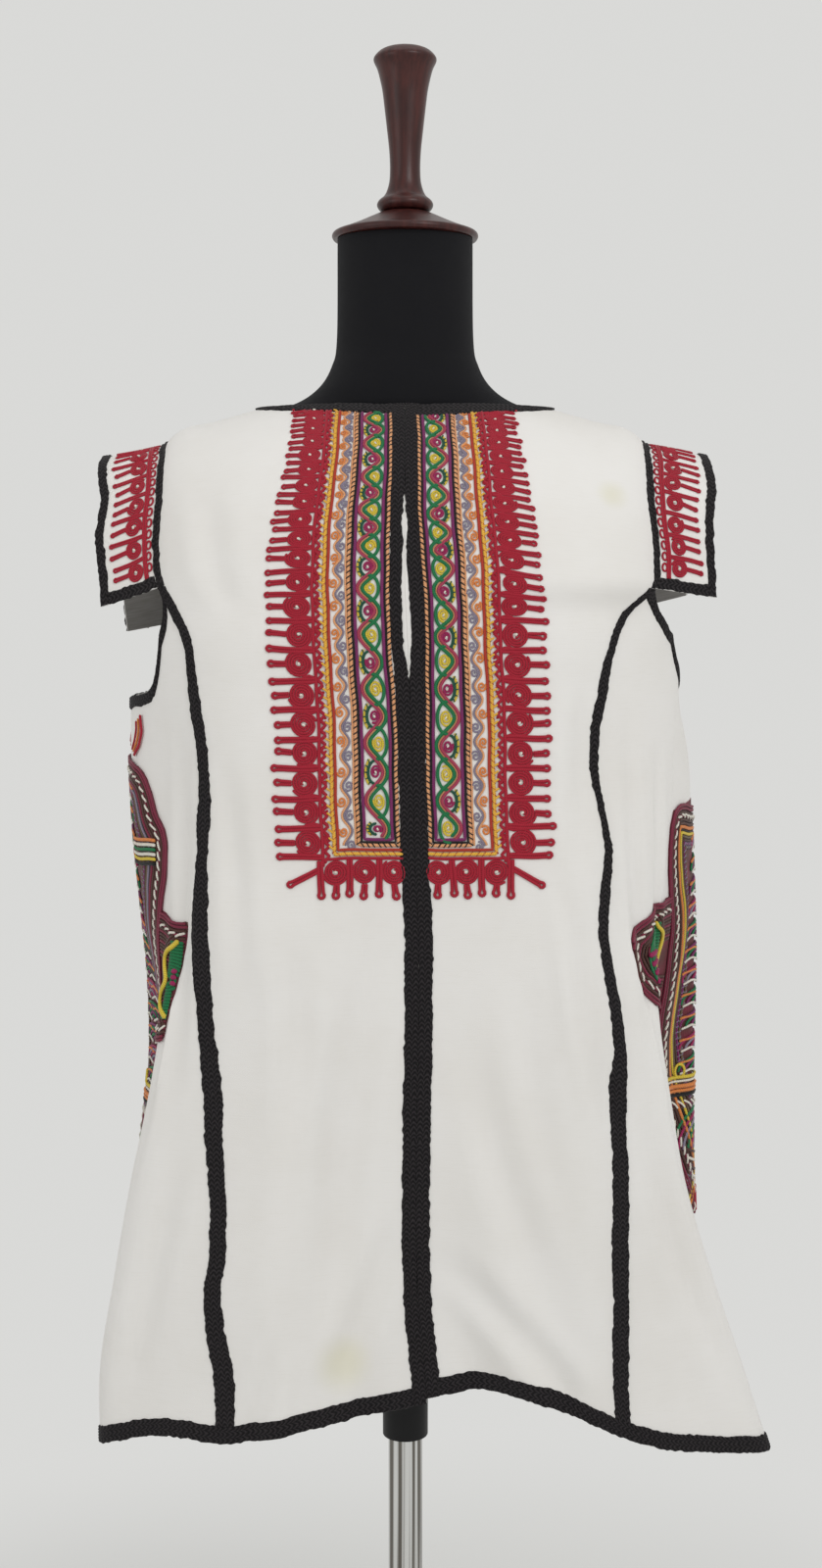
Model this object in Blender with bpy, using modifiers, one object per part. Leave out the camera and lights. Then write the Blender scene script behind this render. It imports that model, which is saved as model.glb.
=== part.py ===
"""Embroidered folk coat on a limbless dress form stand.

A short white coat, open down the front, stands on a black jersey dress form with a turned
wooden neck cap and a chrome pole. The coat is one smooth surface, read from the tables below,
and each panel and each strip of black braid is a patch of it with its own wall.

Units are metres, +Z is up, the coat faces -Y, and +X is at the right as one looks at its front.
The origin is on the floor, under the pole.
"""

import math
from collections import namedtuple

import bmesh
import bpy
import numpy as np

# Walls and clearances
CLOTH = 0.0020  # thickness of the coat's cloth
BRAID = 0.0012  # thickness of the flat braid
CLEAR = 0.0003  # between pieces that touch
PARTING = 0.0007  # half the slit between the two front edges
EDGE_RIM = 0.003  # chamfers of the stand's turned pieces

# Widths of the braids
EDGE_BRAID = 0.0105
NECK_BRAID = 0.0090
SEAM_BRAID_TOP = 0.0085
SEAM_BRAID_HEM = 0.0145
ARMHOLE_BRAID = 0.0090
SLEEVE_BRAID = 0.0075
HEM_BRAID = 0.0145

# The coat's surface: u goes round each half, v goes down it
CHEST_Z = 1.210  # the cloth rolls back to the shoulder above this height
CHEST, HEM = 1.0, 2.0  # v at the chest line and at the hem; 0 is the shoulder ridge
FRONT_EDGE, PRINCESS, VALLEY, SIDE = 0, 1, 3, 4
BACK_VALLEY, BACK_PRINCESS, CENTRE_BACK = 5, 7, 8
NECK_U = 0.57  # where the neckline meets the shoulder seam, counted from the front edge
NECK_DROP_FRONT = math.radians(23)  # how far down the roll the neckline is cut at the middle
NECK_DROP_BACK = math.radians(33)
ARMHOLE_FRONT = 0.85  # v at the foot of the sleeve, in front and behind
ARMHOLE_BACK = 0.95

# One row for each level: x and y of the section's turning points, for the right and left halves
Section = namedtuple(
    "Section",
    "z sway front_y princess_right princess_left princess_y crest_right crest_left crest_y"
    " valley_x valley_y side_right side_left back_share",
)
SECTIONS = [
    Section(0.530, 0.020, -0.153, 0.180, 0.146, -0.154, 0.303, 0.258, -0.104, 0.227, -0.054, 0.262, 0.244, 0.97),
    Section(0.600, 0.017, -0.152, 0.178, 0.149, -0.153, 0.280, 0.252, -0.107, 0.220, -0.056, 0.258, 0.239, 0.96),
    Section(0.680, 0.010, -0.151, 0.177, 0.156, -0.152, 0.253, 0.239, -0.110, 0.211, -0.058, 0.252, 0.234, 0.95),
    Section(0.760, 0.009, -0.149, 0.176, 0.152, -0.150, 0.229, 0.224, -0.113, 0.204, -0.061, 0.249, 0.229, 0.94),
    Section(0.840, 0.010, -0.147, 0.173, 0.155, -0.146, 0.214, 0.206, -0.116, 0.200, -0.066, 0.248, 0.220, 0.93),
    Section(0.905, 0.011, -0.145, 0.170, 0.160, -0.142, 0.202, 0.193, -0.118, 0.200, -0.073, 0.248, 0.220, 0.92),
    Section(0.965, 0.011, -0.143, 0.160, 0.163, -0.138, 0.190, 0.184, -0.116, 0.205, -0.083, 0.247, 0.223, 0.91),
    Section(1.035, 0.008, -0.142, 0.163, 0.162, -0.131, 0.195, 0.186, -0.107, 0.218, -0.070, 0.245, 0.227, 0.90),
    Section(1.110, 0.006, -0.141, 0.152, 0.162, -0.129, 0.194, 0.190, -0.101, 0.222, -0.063, 0.241, 0.232, 0.90),
    Section(1.165, 0.004, -0.140, 0.158, 0.168, -0.125, 0.199, 0.199, -0.095, 0.224, -0.059, 0.2285, 0.230, 0.91),
    Section(1.210, 0.002, -0.140, 0.170, 0.176, -0.118, 0.206, 0.206, -0.088, 0.224, -0.056, 0.2265, 0.229, 0.93),
    Section(1.230, 0.001, -0.140, 0.182, 0.186, -0.108, 0.210, 0.210, -0.082, 0.225, -0.054, 0.2275, 0.230, 0.93),
    Section(1.250, 0.000, -0.140, 0.202, 0.197, -0.098, 0.214, 0.214, -0.076, 0.226, -0.052, 0.2295, 0.231, 0.93),
    Section(1.262, 0.000, -0.140, 0.2035, 0.200, -0.095, 0.215, 0.215, -0.074, 0.2265, -0.0515, 0.2310, 0.2315, 0.93),
    Section(1.320, 0.000, -0.140, 0.2005, 0.2005, -0.094, 0.216, 0.216, -0.074, 0.228, -0.050, 0.233, 0.233, 0.93),
    Section(1.420, 0.000, -0.140, 0.2045, 0.2045, -0.090, 0.218, 0.218, -0.072, 0.230, -0.048, 0.235, 0.235, 0.93),
]

# Height of the shoulder ridge at each distance from the middle
Ridge = namedtuple("Ridge", "x front_z back_z")
RIDGE = [
    Ridge(0.000, 1.4134, 1.4300),
    Ridge(0.060, 1.4100, 1.4200),
    Ridge(0.115, 1.4000, 1.4000),
    Ridge(0.165, 1.3865, 1.3865),
    Ridge(0.186, 1.3820, 1.3820),
    Ridge(0.197, 1.3750, 1.3750),
    Ridge(0.205, 1.3640, 1.3640),
    Ridge(0.240, 1.3400, 1.3400),
]

# Height of the hem round each half
HemPoint = namedtuple("HemPoint", "u right left")
HEM_LINE = [
    HemPoint(0.0, 0.591, 0.587),
    HemPoint(0.35, 0.599, 0.574),
    HemPoint(1.0, 0.563, 0.556),
    HemPoint(1.4, 0.546, 0.562),
    HemPoint(2.0, 0.535, 0.540),
    HemPoint(3.0, 0.548, 0.548),
    HemPoint(4.0, 0.545, 0.545),
    HemPoint(5.0, 0.550, 0.550),
    HemPoint(6.0, 0.540, 0.542),
    HemPoint(7.0, 0.560, 0.558),
    HemPoint(8.0, 0.575, 0.575),
]

# v along the top edge of the gores and the side gusset, from the front princess seam to the back one
UnderarmPoint = namedtuple("UnderarmPoint", "u right left")
UNDERARM = [
    UnderarmPoint(1.0, ARMHOLE_FRONT, ARMHOLE_FRONT),
    UnderarmPoint(1.5, 0.882, 0.965),
    UnderarmPoint(2.0, 0.935, 1.045),
    UnderarmPoint(3.0, 1.033, 1.078),
    UnderarmPoint(4.0, 1.066, 1.080),
    UnderarmPoint(5.0, 1.060, 1.075),
    UnderarmPoint(6.0, 1.020, 1.030),
    UnderarmPoint(7.0, ARMHOLE_BACK, ARMHOLE_BACK),
]

# Soft folds: a ridge (or, where height is negative, a trough) between two points of the surface
Fold = namedtuple("Fold", "half u0 v0 u1 v1 width height")
FOLDS = [
    Fold(1, 0.12, 1.62, 0.62, 2.05, 0.13, 0.0060),
    Fold(1, 0.10, 1.80, 0.30, 2.05, 0.10, -0.0050),
    Fold(1, 0.78, 1.20, 0.80, 1.75, 0.11, 0.0040),
    Fold(-1, 0.20, 1.30, 0.35, 1.95, 0.13, -0.0060),
    Fold(-1, 0.62, 1.25, 0.72, 1.90, 0.12, 0.0050),
    Fold(1, 1.45, 1.55, 1.50, 2.05, 0.20, -0.0060),
    Fold(-1, 1.45, 1.60, 1.52, 2.05, 0.20, -0.0050),
    Fold(1, 6.50, 1.55, 6.52, 2.05, 0.20, -0.0060),
    Fold(-1, 6.50, 1.60, 6.50, 2.05, 0.20, -0.0050),
    Fold(1, 7.30, 1.20, 7.40, 2.05, 0.12, -0.0060),
    Fold(-1, 7.36, 1.30, 7.32, 2.05, 0.12, -0.0060),
    Fold(1, 7.75, 1.35, 7.62, 2.05, 0.10, 0.0050),
    Fold(-1, 7.70, 1.30, 7.66, 2.05, 0.11, 0.0050),
]

# How finely the panels are divided
ROLL_ROWS = 6  # from the shoulder to the foot of the sleeve
SKIRT_ROWS = [0.0, 0.065, 0.13, 0.20, 0.27, 0.36, 0.45, 0.54, 0.63, 0.72, 0.81, 0.895]
FRONT_COLUMNS = [0.19, 0.36, 0.48, 0.545, NECK_U, 0.72, 0.86]  # between the edge braid and the seam braid
NECK_COLUMN = FRONT_COLUMNS.index(NECK_U) + 2  # in a front panel's grid, counted from the edge
BACK_NECK_COLUMN = len(FRONT_COLUMNS) + 3 - NECK_COLUMN  # in the back's, counted from the seam
GORE_COLUMNS = 8
GUSSET_COLUMNS = 8
VALLEY_COLUMN = 0.012  # the first column each side of the gusset's seams
EDGE_COLUMN, SEAM_COLUMN, BACK_SEAM_COLUMN = 0.05, 0.97, 7.03  # moved later to the braids' own edges
NEAR_SEAM = 0.01  # where a braid's width is measured, counted in u or v from its seam

# Sleeve bands
SLEEVE_OUT_X = 0.2575  # its outer edge, on top of the arch
SLEEVE_LEAN = {1: 0.0060, -1: 0.0085}  # how far that edge leans in at the foot of each sleeve
SLEEVE_TOP_Z = 1.3580
SLEEVE_OUT_Y = 0.078
SLEEVE_SWEEP = math.radians(80)
SLEEVE_FOOT_FRONT = {1: 1.2400, -1: 1.2325}
SLEEVE_FOOT_BACK = {1: 1.2430, -1: 1.2110}
SLEEVE_MIDDLE = [0.36, 0.62]  # columns between the armhole braid and the edge braid

# Dress form: one row for each ring of the body and neck
Ring = namedtuple("Ring", "z half_width front back power")
TORSO_RINGS = [
    Ring(0.760, 0.150, 0.092, 0.098, 2.2),
    Ring(0.775, 0.163, 0.103, 0.110, 2.2),
    Ring(0.860, 0.168, 0.106, 0.113, 2.2),
    Ring(0.940, 0.153, 0.099, 0.096, 2.2),
    Ring(1.010, 0.140, 0.094, 0.084, 2.2),
    Ring(1.090, 0.147, 0.101, 0.088, 2.2),
    Ring(1.180, 0.166, 0.116, 0.103, 2.2),
    Ring(1.250, 0.182, 0.119, 0.110, 2.2),
    Ring(1.310, 0.193, 0.108, 0.104, 2.2),
    Ring(1.345, 0.196, 0.093, 0.092, 2.1),
    Ring(1.366, 0.190, 0.079, 0.079, 2.0),
    Ring(1.3785, 0.1785, 0.066, 0.068, 1.75),
    Ring(1.3875, 0.1575, 0.056, 0.059, 1.50),
    Ring(1.3965, 0.1235, 0.049, 0.055, 1.50),
    Ring(1.4050, 0.0930, 0.0485, 0.0600, 1.75),
    Ring(1.4180, 0.0735, 0.0480, 0.0630, 2.0),
    Ring(1.4360, 0.0625, 0.0475, 0.0630, 2.0),
    Ring(1.4600, 0.0580, 0.0470, 0.0625, 2.0),
    Ring(1.5425, 0.0572, 0.0470, 0.0625, 2.0),
]
TORSO_LEVELS = 30
TORSO_SIDES = 28
NECK_Y = 0.008  # the neck, cap and finial stand a little behind the pole's axis

# Neck cap and finial, turned: radius and height of each step of the profile, from the top down
NECK_TOP = 1.5425
CAP_BASE = NECK_TOP + CLEAR
FINIAL_BASE = 1.5665
CAP_PROFILE = [
    (0.0195, FINIAL_BASE - CLEAR),
    (0.0250, 1.5640),
    (0.0420, 1.5562),
    (0.0560, 1.5506),
    (0.0612, 1.5490),
    (0.0625, 1.5462),
    (0.0612, 1.5434),
    (0.0595, CAP_BASE),
]
FINIAL_PROFILE = [
    (0.0120, 1.7030),
    (0.0210, 1.7002),
    (0.0262, 1.6950),
    (0.0270, 1.6918),
    (0.0232, 1.6850),
    (0.0192, 1.6680),
    (0.0162, 1.6424),
    (0.0134, 1.6180),
    (0.0127, 1.6030),
    (0.0133, 1.5904),
    (0.0170, 1.5800),
    (0.0225, 1.5762),
    (0.0243, 1.5725),
    (0.0228, 1.5690),
    (0.0200, FINIAL_BASE),
]

# Stand
BASE_RADIUS = 0.200
BASE_THICK = 0.008
HUB_RADIUS = 0.030
HUB_TOP = 0.034
POLE_RADIUS = 0.0150  # lower pole, a tube
ROD_RADIUS = 0.0125  # upper pole, which slides in it
SLIDE_CLEAR = 0.0004
POLE_TOP = 0.540
CLAMP_RADIUS = 0.0200
CLAMP_BASE = 0.500
CLAMP_TOP = 0.560
ROD_BASE = 0.260
TURNED_SIDES = 32

COLOURS = {  # base colour, roughness, metallic
    "white_cloth": ((0.69, 0.68, 0.64), 0.90, 0.0),
    "black_braid": ((0.014, 0.013, 0.014), 0.80, 0.0),
    "embroidered_cloth": ((0.33, 0.10, 0.09), 0.85, 0.0),
    "black_jersey": ((0.013, 0.013, 0.014), 0.92, 0.0),
    "dark_wood": ((0.045, 0.018, 0.014), 0.38, 0.0),
    "chrome": ((0.78, 0.78, 0.79), 0.12, 1.0),
    "black_plastic": ((0.012, 0.012, 0.012), 0.45, 0.0),
}


def clear_scene():
    for item in list(bpy.data.objects):
        bpy.data.objects.remove(item, do_unlink=True)


def make_materials():
    made = {}
    for name, (colour, roughness, metallic) in COLOURS.items():
        material = bpy.data.materials.new(name)
        material.use_nodes = True
        shader = material.node_tree.nodes["Principled BSDF"]
        shader.inputs["Base Color"].default_value = (*colour, 1.0)
        shader.inputs["Roughness"].default_value = roughness
        shader.inputs["Metallic"].default_value = metallic
        material.diffuse_color = (*colour, 1.0)
        made[name] = material
    return made


def through(knots, values, at):
    """A smooth curve through the values, which may be rows, at rising knots: cubic Hermite pieces."""
    knots = np.asarray(knots, float)
    values = np.asarray(values, float).reshape(len(knots), -1)
    steps = np.diff(knots)[:, None]
    slopes = np.diff(values, axis=0) / steps
    tangents = np.vstack(
        [
            slopes[:1],
            (slopes[:-1] * steps[1:] + slopes[1:] * steps[:-1]) / (steps[1:] + steps[:-1]),
            slopes[-1:],
        ]
    )
    at = np.clip(np.asarray(at, float), knots[0], knots[-1])
    piece = np.clip(np.searchsorted(knots, at, side="right") - 1, 0, len(knots) - 2)
    share = ((at - knots[piece]) / steps[piece, 0])[..., None]
    return hermite(
        share,
        values[piece],
        values[piece + 1],
        tangents[piece] * steps[piece],
        tangents[piece + 1] * steps[piece],
    )


def hermite(share, start, end, start_tangent, end_tangent):
    """The cubic from start to end, with these tangents over the whole piece."""
    square = share * share
    cube = square * share
    return (
        (2 * cube - 3 * square + 1) * start
        + (cube - 2 * square + share) * start_tangent
        + (3 * square - 2 * cube) * end
        + (cube - square) * end_tangent
    )


def turning_points(half, z):
    """The nine turning points of the section at each z, in the half's own x, which grows outwards."""
    table = np.array(SECTIONS, float)
    row = Section(*np.moveaxis(through(table[:, 0], table, z), -1, 0))
    princess = row.princess_right if half > 0 else row.princess_left
    crest = row.crest_right if half > 0 else row.crest_left
    side = row.side_right if half > 0 else row.side_left
    x = [half * row.sway, princess, crest, row.valley_x, side]
    x += [row.valley_x, crest, princess, 0 * row.z]
    front = [row.front_y, row.princess_y, row.crest_y, row.valley_y, 0 * row.z]
    y = front + [-row.back_share * value for value in front[-2::-1]]
    return np.stack([np.stack(x, -1), np.stack(y, -1)], -1)


def section_point(half, u, z):
    """x and y at u of the section at z: cubics through the turning points, spaced by their chords."""
    points = turning_points(half, z)
    chords = np.linalg.norm(np.diff(points, axis=-2), axis=-1)[..., None]
    slopes = np.diff(points, axis=-2) / chords
    middle = (slopes[..., :-1, :] * chords[..., 1:, :] + slopes[..., 1:, :] * chords[..., :-1, :]) / (
        chords[..., 1:, :] + chords[..., :-1, :]
    )
    level = np.zeros_like(slopes[..., :1, :])
    level[..., 0] = 1.0
    tangents = np.concatenate([level, middle, -level], axis=-2)
    piece = np.clip(np.floor(u).astype(int), 0, CENTRE_BACK - 1)

    def pick(values, index):
        return np.take_along_axis(values, index[..., None, None], axis=-2)[..., 0, :]

    span = pick(chords, piece)
    return hermite(
        (u - piece)[..., None],
        pick(points, piece),
        pick(points, piece + 1),
        pick(tangents, piece) * span,
        pick(tangents, piece + 1) * span,
    )


def rise(x, u):
    """How high the shoulder ridge stands over the chest line at x."""
    table = np.array(RIDGE)
    heights = through(table[:, 0], table[:, 1:], np.abs(x))
    return np.where(u > SIDE, heights[..., 1], heights[..., 0]) - CHEST_Z


def fold_height(half, u, v):
    """The folds' push along the surface's normal: a bell across each fold, faded at its upper end."""
    total = np.zeros_like(u)
    for fold in FOLDS:
        if fold.half != half:
            continue
        along = np.clip((v - fold.v0) / (fold.v1 - fold.v0), 0.0, 1.0)
        across = (u - fold.u0 - (fold.u1 - fold.u0) * along) / fold.width
        total += fold.height * along * (2 - along) * np.exp(-across * across)
    return total


def smooth_point(half, u, v):
    """The surface without its folds. Above the chest line it rolls back to the ridge as a quarter ellipse."""
    hem = np.array(HEM_LINE)
    hem_z = through(hem[:, 0], hem[:, 1 if half > 0 else 2], u)[..., 0]
    roll = np.clip(v, 0.0, CHEST) * math.pi / 2
    z = CHEST_Z - (v - CHEST) * (CHEST_Z - hem_z)
    for _ in range(6):  # the ridge's height depends on x, and x on the height
        x = section_point(half, u, z)[..., 0]
        z = np.where(v < CHEST, CHEST_Z + rise(x, u) * np.cos(roll), z)
    flat = section_point(half, u, z)
    return np.stack([half * flat[..., 0], flat[..., 1] * np.sin(roll), z], -1)


def normal_of(point, half, u, v):
    """The outward normal, from small steps to both sides in u and v."""
    step = 1e-4
    along = point(half, u, v + step) - point(half, u, np.maximum(v - step, 0.0))
    around = point(half, u + step, v) - point(half, np.maximum(u - step, 0.0), v)
    normal = half * np.cross(along, around)
    return normal / np.linalg.norm(normal, axis=-1, keepdims=True)


def surface(half, u, v):
    """Points and normals of the coat's inner face, folds included."""
    u, v = np.broadcast_arrays(np.asarray(u, float), np.asarray(v, float))
    base = smooth_point(half, u, v)
    normals = normal_of(smooth_point, half, u, v)
    return base + normals * fold_height(half, u, v)[..., None], normals


def metres_per(half, u, v, direction):
    """How long a step of one is on the surface, along u or along v."""
    step = 1e-3
    du, dv = (step, 0.0) if direction == "u" else (0.0, step)
    gap = smooth_point(half, u + du, v + dv) - smooth_point(half, u, v)
    return np.linalg.norm(gap, axis=-1) / step


def neckline(half, u, seam_u):
    """v along the top edge of the front or back panel: the neckline, then the shoulder seam."""
    drop = NECK_DROP_FRONT if seam_u == PRINCESS else NECK_DROP_BACK
    from_middle = np.minimum(u, CENTRE_BACK - u) / NECK_U
    top = drop * np.sqrt(np.clip(1.0 - from_middle**2, 0.0, 1.0)) / (math.pi / 2)
    return np.maximum(top, CLEAR / 2 / metres_per(half, u, np.full_like(u, NEAR_SEAM), "v"))


def underarm(half, u):
    """v at the top edge of the gores and gusset, and just under the braid along it."""
    table = np.array(UNDERARM)
    top = through(table[:, 0], table[:, 1 if half > 0 else 2], u)[..., 0]
    return top, top + ARMHOLE_BRAID / metres_per(half, u, top, "v")


def above_hem(half, u):
    return HEM - HEM_BRAID / metres_per(half, u, np.full_like(u, HEM - 5 * NEAR_SEAM), "v")


def skirt_rows(half, u, first):
    """v of the rows below the underarm braid, the last two on either side of the hem braid."""
    rows = [first + (HEM - first) * share for share in SKIRT_ROWS]
    return rows + [above_hem(half, u), np.full_like(u, HEM)]


def body_rows(half, u, seam_u):
    """v of every row of a front or back panel. They meet the gore's rows along the princess seam."""
    foot = np.full_like(u, ARMHOLE_FRONT if seam_u == PRINCESS else ARMHOLE_BACK)
    above_foot = foot - SLEEVE_BRAID / metres_per(half, u, foot, "v")
    top = neckline(half, u, seam_u)
    under_neck = top + NECK_BRAID / metres_per(half, u, np.maximum(top, 2 * NEAR_SEAM), "v")
    steps = [under_neck + (above_foot - under_neck) * k / ROLL_ROWS for k in range(1, ROLL_ROWS + 1)]
    _, under_braid = underarm(half, np.full_like(u, float(seam_u)))
    return np.stack([top, under_neck] + steps + [foot] + skirt_rows(half, u, under_braid))


def gore_rows(half, u):
    top, first = underarm(half, u)
    return np.stack([top] + skirt_rows(half, u, first))


def seam_width(v):
    """The princess braid is narrow at the armhole and broad at the hem."""
    return SEAM_BRAID_TOP + (SEAM_BRAID_HEM - SEAM_BRAID_TOP) * np.clip((v - CHEST) / (HEM - CHEST), 0.0, 1.0)


def beside(half, seam_u, v, width, towards):
    """u at a braid's edge, this far to one side of a seam."""
    at = np.full_like(v, seam_u + NEAR_SEAM * towards)
    return seam_u + towards * width / metres_per(half, at, v, "u")


def panel_grids(half):
    """u and v of each panel's points. Columns stand at the seams, half the clearance in, and at the braids' edges."""
    grids = {}
    front = [FRONT_EDGE, EDGE_COLUMN] + FRONT_COLUMNS + [SEAM_COLUMN, PRINCESS]
    back = [BACK_PRINCESS, BACK_SEAM_COLUMN] + [CENTRE_BACK - u for u in FRONT_COLUMNS[::-1]] + [CENTRE_BACK]
    spans = {
        "front": (np.array(front, float), PRINCESS),
        "gore_front": (np.linspace(PRINCESS, VALLEY, GORE_COLUMNS + 1), None),
        "gusset": (np.linspace(VALLEY, BACK_VALLEY, GUSSET_COLUMNS + 1), None),
        "gore_back": (np.linspace(BACK_VALLEY, BACK_PRINCESS, GORE_COLUMNS + 1), None),
        "back": (np.array(back, float), BACK_PRINCESS),
    }
    for name, (columns, seam_u) in spans.items():
        v = gore_rows(half, columns) if seam_u is None else body_rows(half, columns, seam_u)
        u = np.broadcast_to(columns, v.shape).copy()
        grids[name] = [u, v]
    hair = CLEAR / 2
    u, v = grids["front"]
    u[:, 0] = beside(half, FRONT_EDGE, v[:, 0], PARTING, 1)
    u[:, 1] = beside(half, FRONT_EDGE, v[:, 1], PARTING + EDGE_BRAID, 1)
    for before, after, seam_u, width in (
        ("front", "gore_front", PRINCESS, None),
        ("gore_front", "gusset", VALLEY, VALLEY_COLUMN),
        ("gusset", "gore_back", BACK_VALLEY, VALLEY_COLUMN),
        ("gore_back", "back", BACK_PRINCESS, None),
    ):
        for name, towards, edge, inner in ((before, -1, -1, -2), (after, 1, 0, 1)):
            u, v = grids[name]
            reach = seam_width(v[:, inner]) / 2 if width is None else width
            u[:, edge] = beside(half, seam_u, v[:, edge], hair, towards)
            u[:, inner] = beside(half, seam_u, v[:, inner], reach, towards)
    return grids


def quads(points):
    """Vertex numbers of each cell of a grid of points, from an end of the cell's shorter diagonal.

    A cell splits there, so a braid that lies on a panel splits as the panel does.
    """
    rows, columns = points.shape[:2]
    index = np.arange(rows * columns).reshape(rows, columns)
    cells = np.stack([index[:-1, :-1], index[:-1, 1:], index[1:, 1:], index[1:, :-1]], -1).reshape(-1, 4)
    corners = points.reshape(-1, 3)[cells]
    first = np.linalg.norm(corners[:, 0] - corners[:, 2], axis=1)
    second = np.linalg.norm(corners[:, 1] - corners[:, 3], axis=1)
    return np.where((first <= second)[:, None], cells, np.roll(cells, -1, axis=1))


def shell(name, points, normals, lift, thickness, material, collection, keep=None):
    """A closed wall over a grid of points, lifted off them, with only the cells in keep."""
    inner = (points + normals * lift).reshape(-1, 3)
    outer = (points + normals * (lift + thickness)).reshape(-1, 3)
    cells = quads(points)
    if keep is not None:
        cells = cells[np.asarray(keep).ravel()]
    sides = np.concatenate([cells[:, [k, (k + 1) % 4]] for k in range(4)])
    _, place, times = np.unique(np.sort(sides, 1), axis=0, return_index=True, return_counts=True)
    rim = sides[place[times == 1]]
    count = len(inner)
    faces = cells.tolist() + (cells[:, [0, 3, 2, 1]] + count).tolist()
    faces += [[a, a + count, b + count, b] for a, b in rim.tolist()]
    mesh = bpy.data.meshes.new(name)
    mesh.from_pydata(np.concatenate([inner, outer]).tolist(), [], faces)
    work = bmesh.new()
    work.from_mesh(mesh)
    bmesh.ops.delete(work, geom=[vert for vert in work.verts if not vert.link_faces], context="VERTS")
    bmesh.ops.recalc_face_normals(work, faces=work.faces)
    work.to_mesh(mesh)
    work.free()
    mesh.shade_smooth()
    mesh.set_sharp_from_angle(angle=math.radians(40))
    return place_object(name, mesh, material, collection)


def place_object(name, mesh, material, collection):
    item = bpy.data.objects.new(name, mesh)
    mesh.materials.append(material)
    collection.objects.link(item)
    return item


def turned(name, profile, material, collection, y=0.0):
    """A solid of revolution from a profile of radius and height, from the top down its outer side."""
    mesh = bpy.data.meshes.new(name)
    edges = [(k, k + 1) for k in range(len(profile) - 1)]
    mesh.from_pydata([(radius, 0.0, height) for radius, height in profile], edges, [])
    item = place_object(name, mesh, material, collection)
    item.location.y = y
    screw = item.modifiers.new("Turned", "SCREW")
    screw.steps = screw.render_steps = TURNED_SIDES
    screw.use_merge_vertices = True
    screw.merge_threshold = 0.0001
    screw.use_smooth_shade = True
    return item


def closed_ring(profile):
    """The profile of a turned ring, back at its first point."""
    return profile + profile[:1]


def capped(profile):
    """The profile of a turned solid, closed at the axis above and below."""
    return [(0.0, profile[0][1])] + profile + [(0.0, profile[-1][1])]


def superellipse(ring, angle):
    """A point of the form's ring: wider or squarer as the power grows, with its own front and back depth."""
    cosine, sine = math.cos(angle), math.sin(angle)
    x = ring.half_width * math.copysign(abs(cosine) ** (2 / ring.power), cosine)
    depth = ring.back if sine > 0 else ring.front
    return x, depth * math.copysign(abs(sine) ** (2 / ring.power), sine), ring.z


def make_torso(material, collection):
    """The form's body and neck: a loft through its rings, closed by a flat face at each end."""
    table = np.array(TORSO_RINGS)
    shares = np.linspace(0, len(table) - 1, TORSO_LEVELS)
    rings = [Ring(*row) for row in through(np.arange(len(table)), table, shares)]
    angles = [2 * math.pi * (k + 0.5) / TORSO_SIDES for k in range(TORSO_SIDES)]
    work = bmesh.new()
    loops = [[work.verts.new(superellipse(ring, angle)) for angle in angles] for ring in rings]
    for lower, upper in zip(loops, loops[1:]):
        for k in range(TORSO_SIDES):
            after = (k + 1) % TORSO_SIDES
            work.faces.new([lower[k], lower[after], upper[after], upper[k]])
    work.faces.new(loops[0][::-1])
    work.faces.new(loops[-1])
    bmesh.ops.recalc_face_normals(work, faces=work.faces)
    mesh = bpy.data.meshes.new("form_torso")
    work.to_mesh(mesh)
    work.free()
    mesh.shade_smooth()
    return place_object("form_torso", mesh, material, collection)


def make_stand(materials, collection):
    rim = EDGE_RIM
    turned(
        "base_plate",
        [
            (0.0, BASE_THICK),
            (POLE_RADIUS + CLEAR, BASE_THICK),
            (POLE_RADIUS + CLEAR, HUB_TOP),
            (HUB_RADIUS - rim, HUB_TOP),
            (HUB_RADIUS, HUB_TOP - rim),
            (HUB_RADIUS, BASE_THICK + rim),
            (HUB_RADIUS + rim, BASE_THICK),
            (BASE_RADIUS - rim, BASE_THICK),
            (BASE_RADIUS, BASE_THICK - rim),
            (BASE_RADIUS, 0.0),
            (0.0, 0.0),
        ],
        materials["chrome"],
        collection,
    )
    bore = ROD_RADIUS + SLIDE_CLEAR
    pole_base = BASE_THICK + CLEAR
    turned(
        "lower_pole",
        closed_ring([(POLE_RADIUS, POLE_TOP), (POLE_RADIUS, pole_base), (bore, pole_base), (bore, POLE_TOP)]),
        materials["chrome"],
        collection,
    )
    socket = POLE_RADIUS + CLEAR
    step = POLE_TOP + CLEAR
    turned(
        "pole_clamp",
        closed_ring(
            [
                (CLAMP_RADIUS - rim, CLAMP_TOP),
                (CLAMP_RADIUS, CLAMP_TOP - rim),
                (CLAMP_RADIUS, CLAMP_BASE),
                (socket, CLAMP_BASE),
                (socket, step),
                (bore, step),
                (bore, CLAMP_TOP),
            ]
        ),
        materials["black_plastic"],
        collection,
    )
    rod_top = TORSO_RINGS[0].z - CLEAR
    turned(
        "upper_pole",
        capped([(ROD_RADIUS, rod_top), (ROD_RADIUS, ROD_BASE)]),
        materials["chrome"],
        collection,
    )


def joined(*parts):
    """Columns of u and v side by side, from slices of the panels' own columns or from one value of u."""
    return np.stack([part[0] for part in parts], 1), np.stack([part[1] for part in parts], 1)


def column(grid, index, rows=slice(None)):
    u, v = grid
    return u[rows, index], v[rows, index]


def on_seam(grid, index, rows, seam_u):
    _, v = grid
    return np.full_like(v[rows, index], float(seam_u)), v[rows, index]


def braid(name, half, u, v, materials, collection):
    """A strip of flat braid lying on the cloth, from the panels' own points moved out."""
    points, normals = surface(half, u, v)
    shell(name, points, normals, CLOTH + CLEAR, BRAID, materials["black_braid"], collection)


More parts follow.
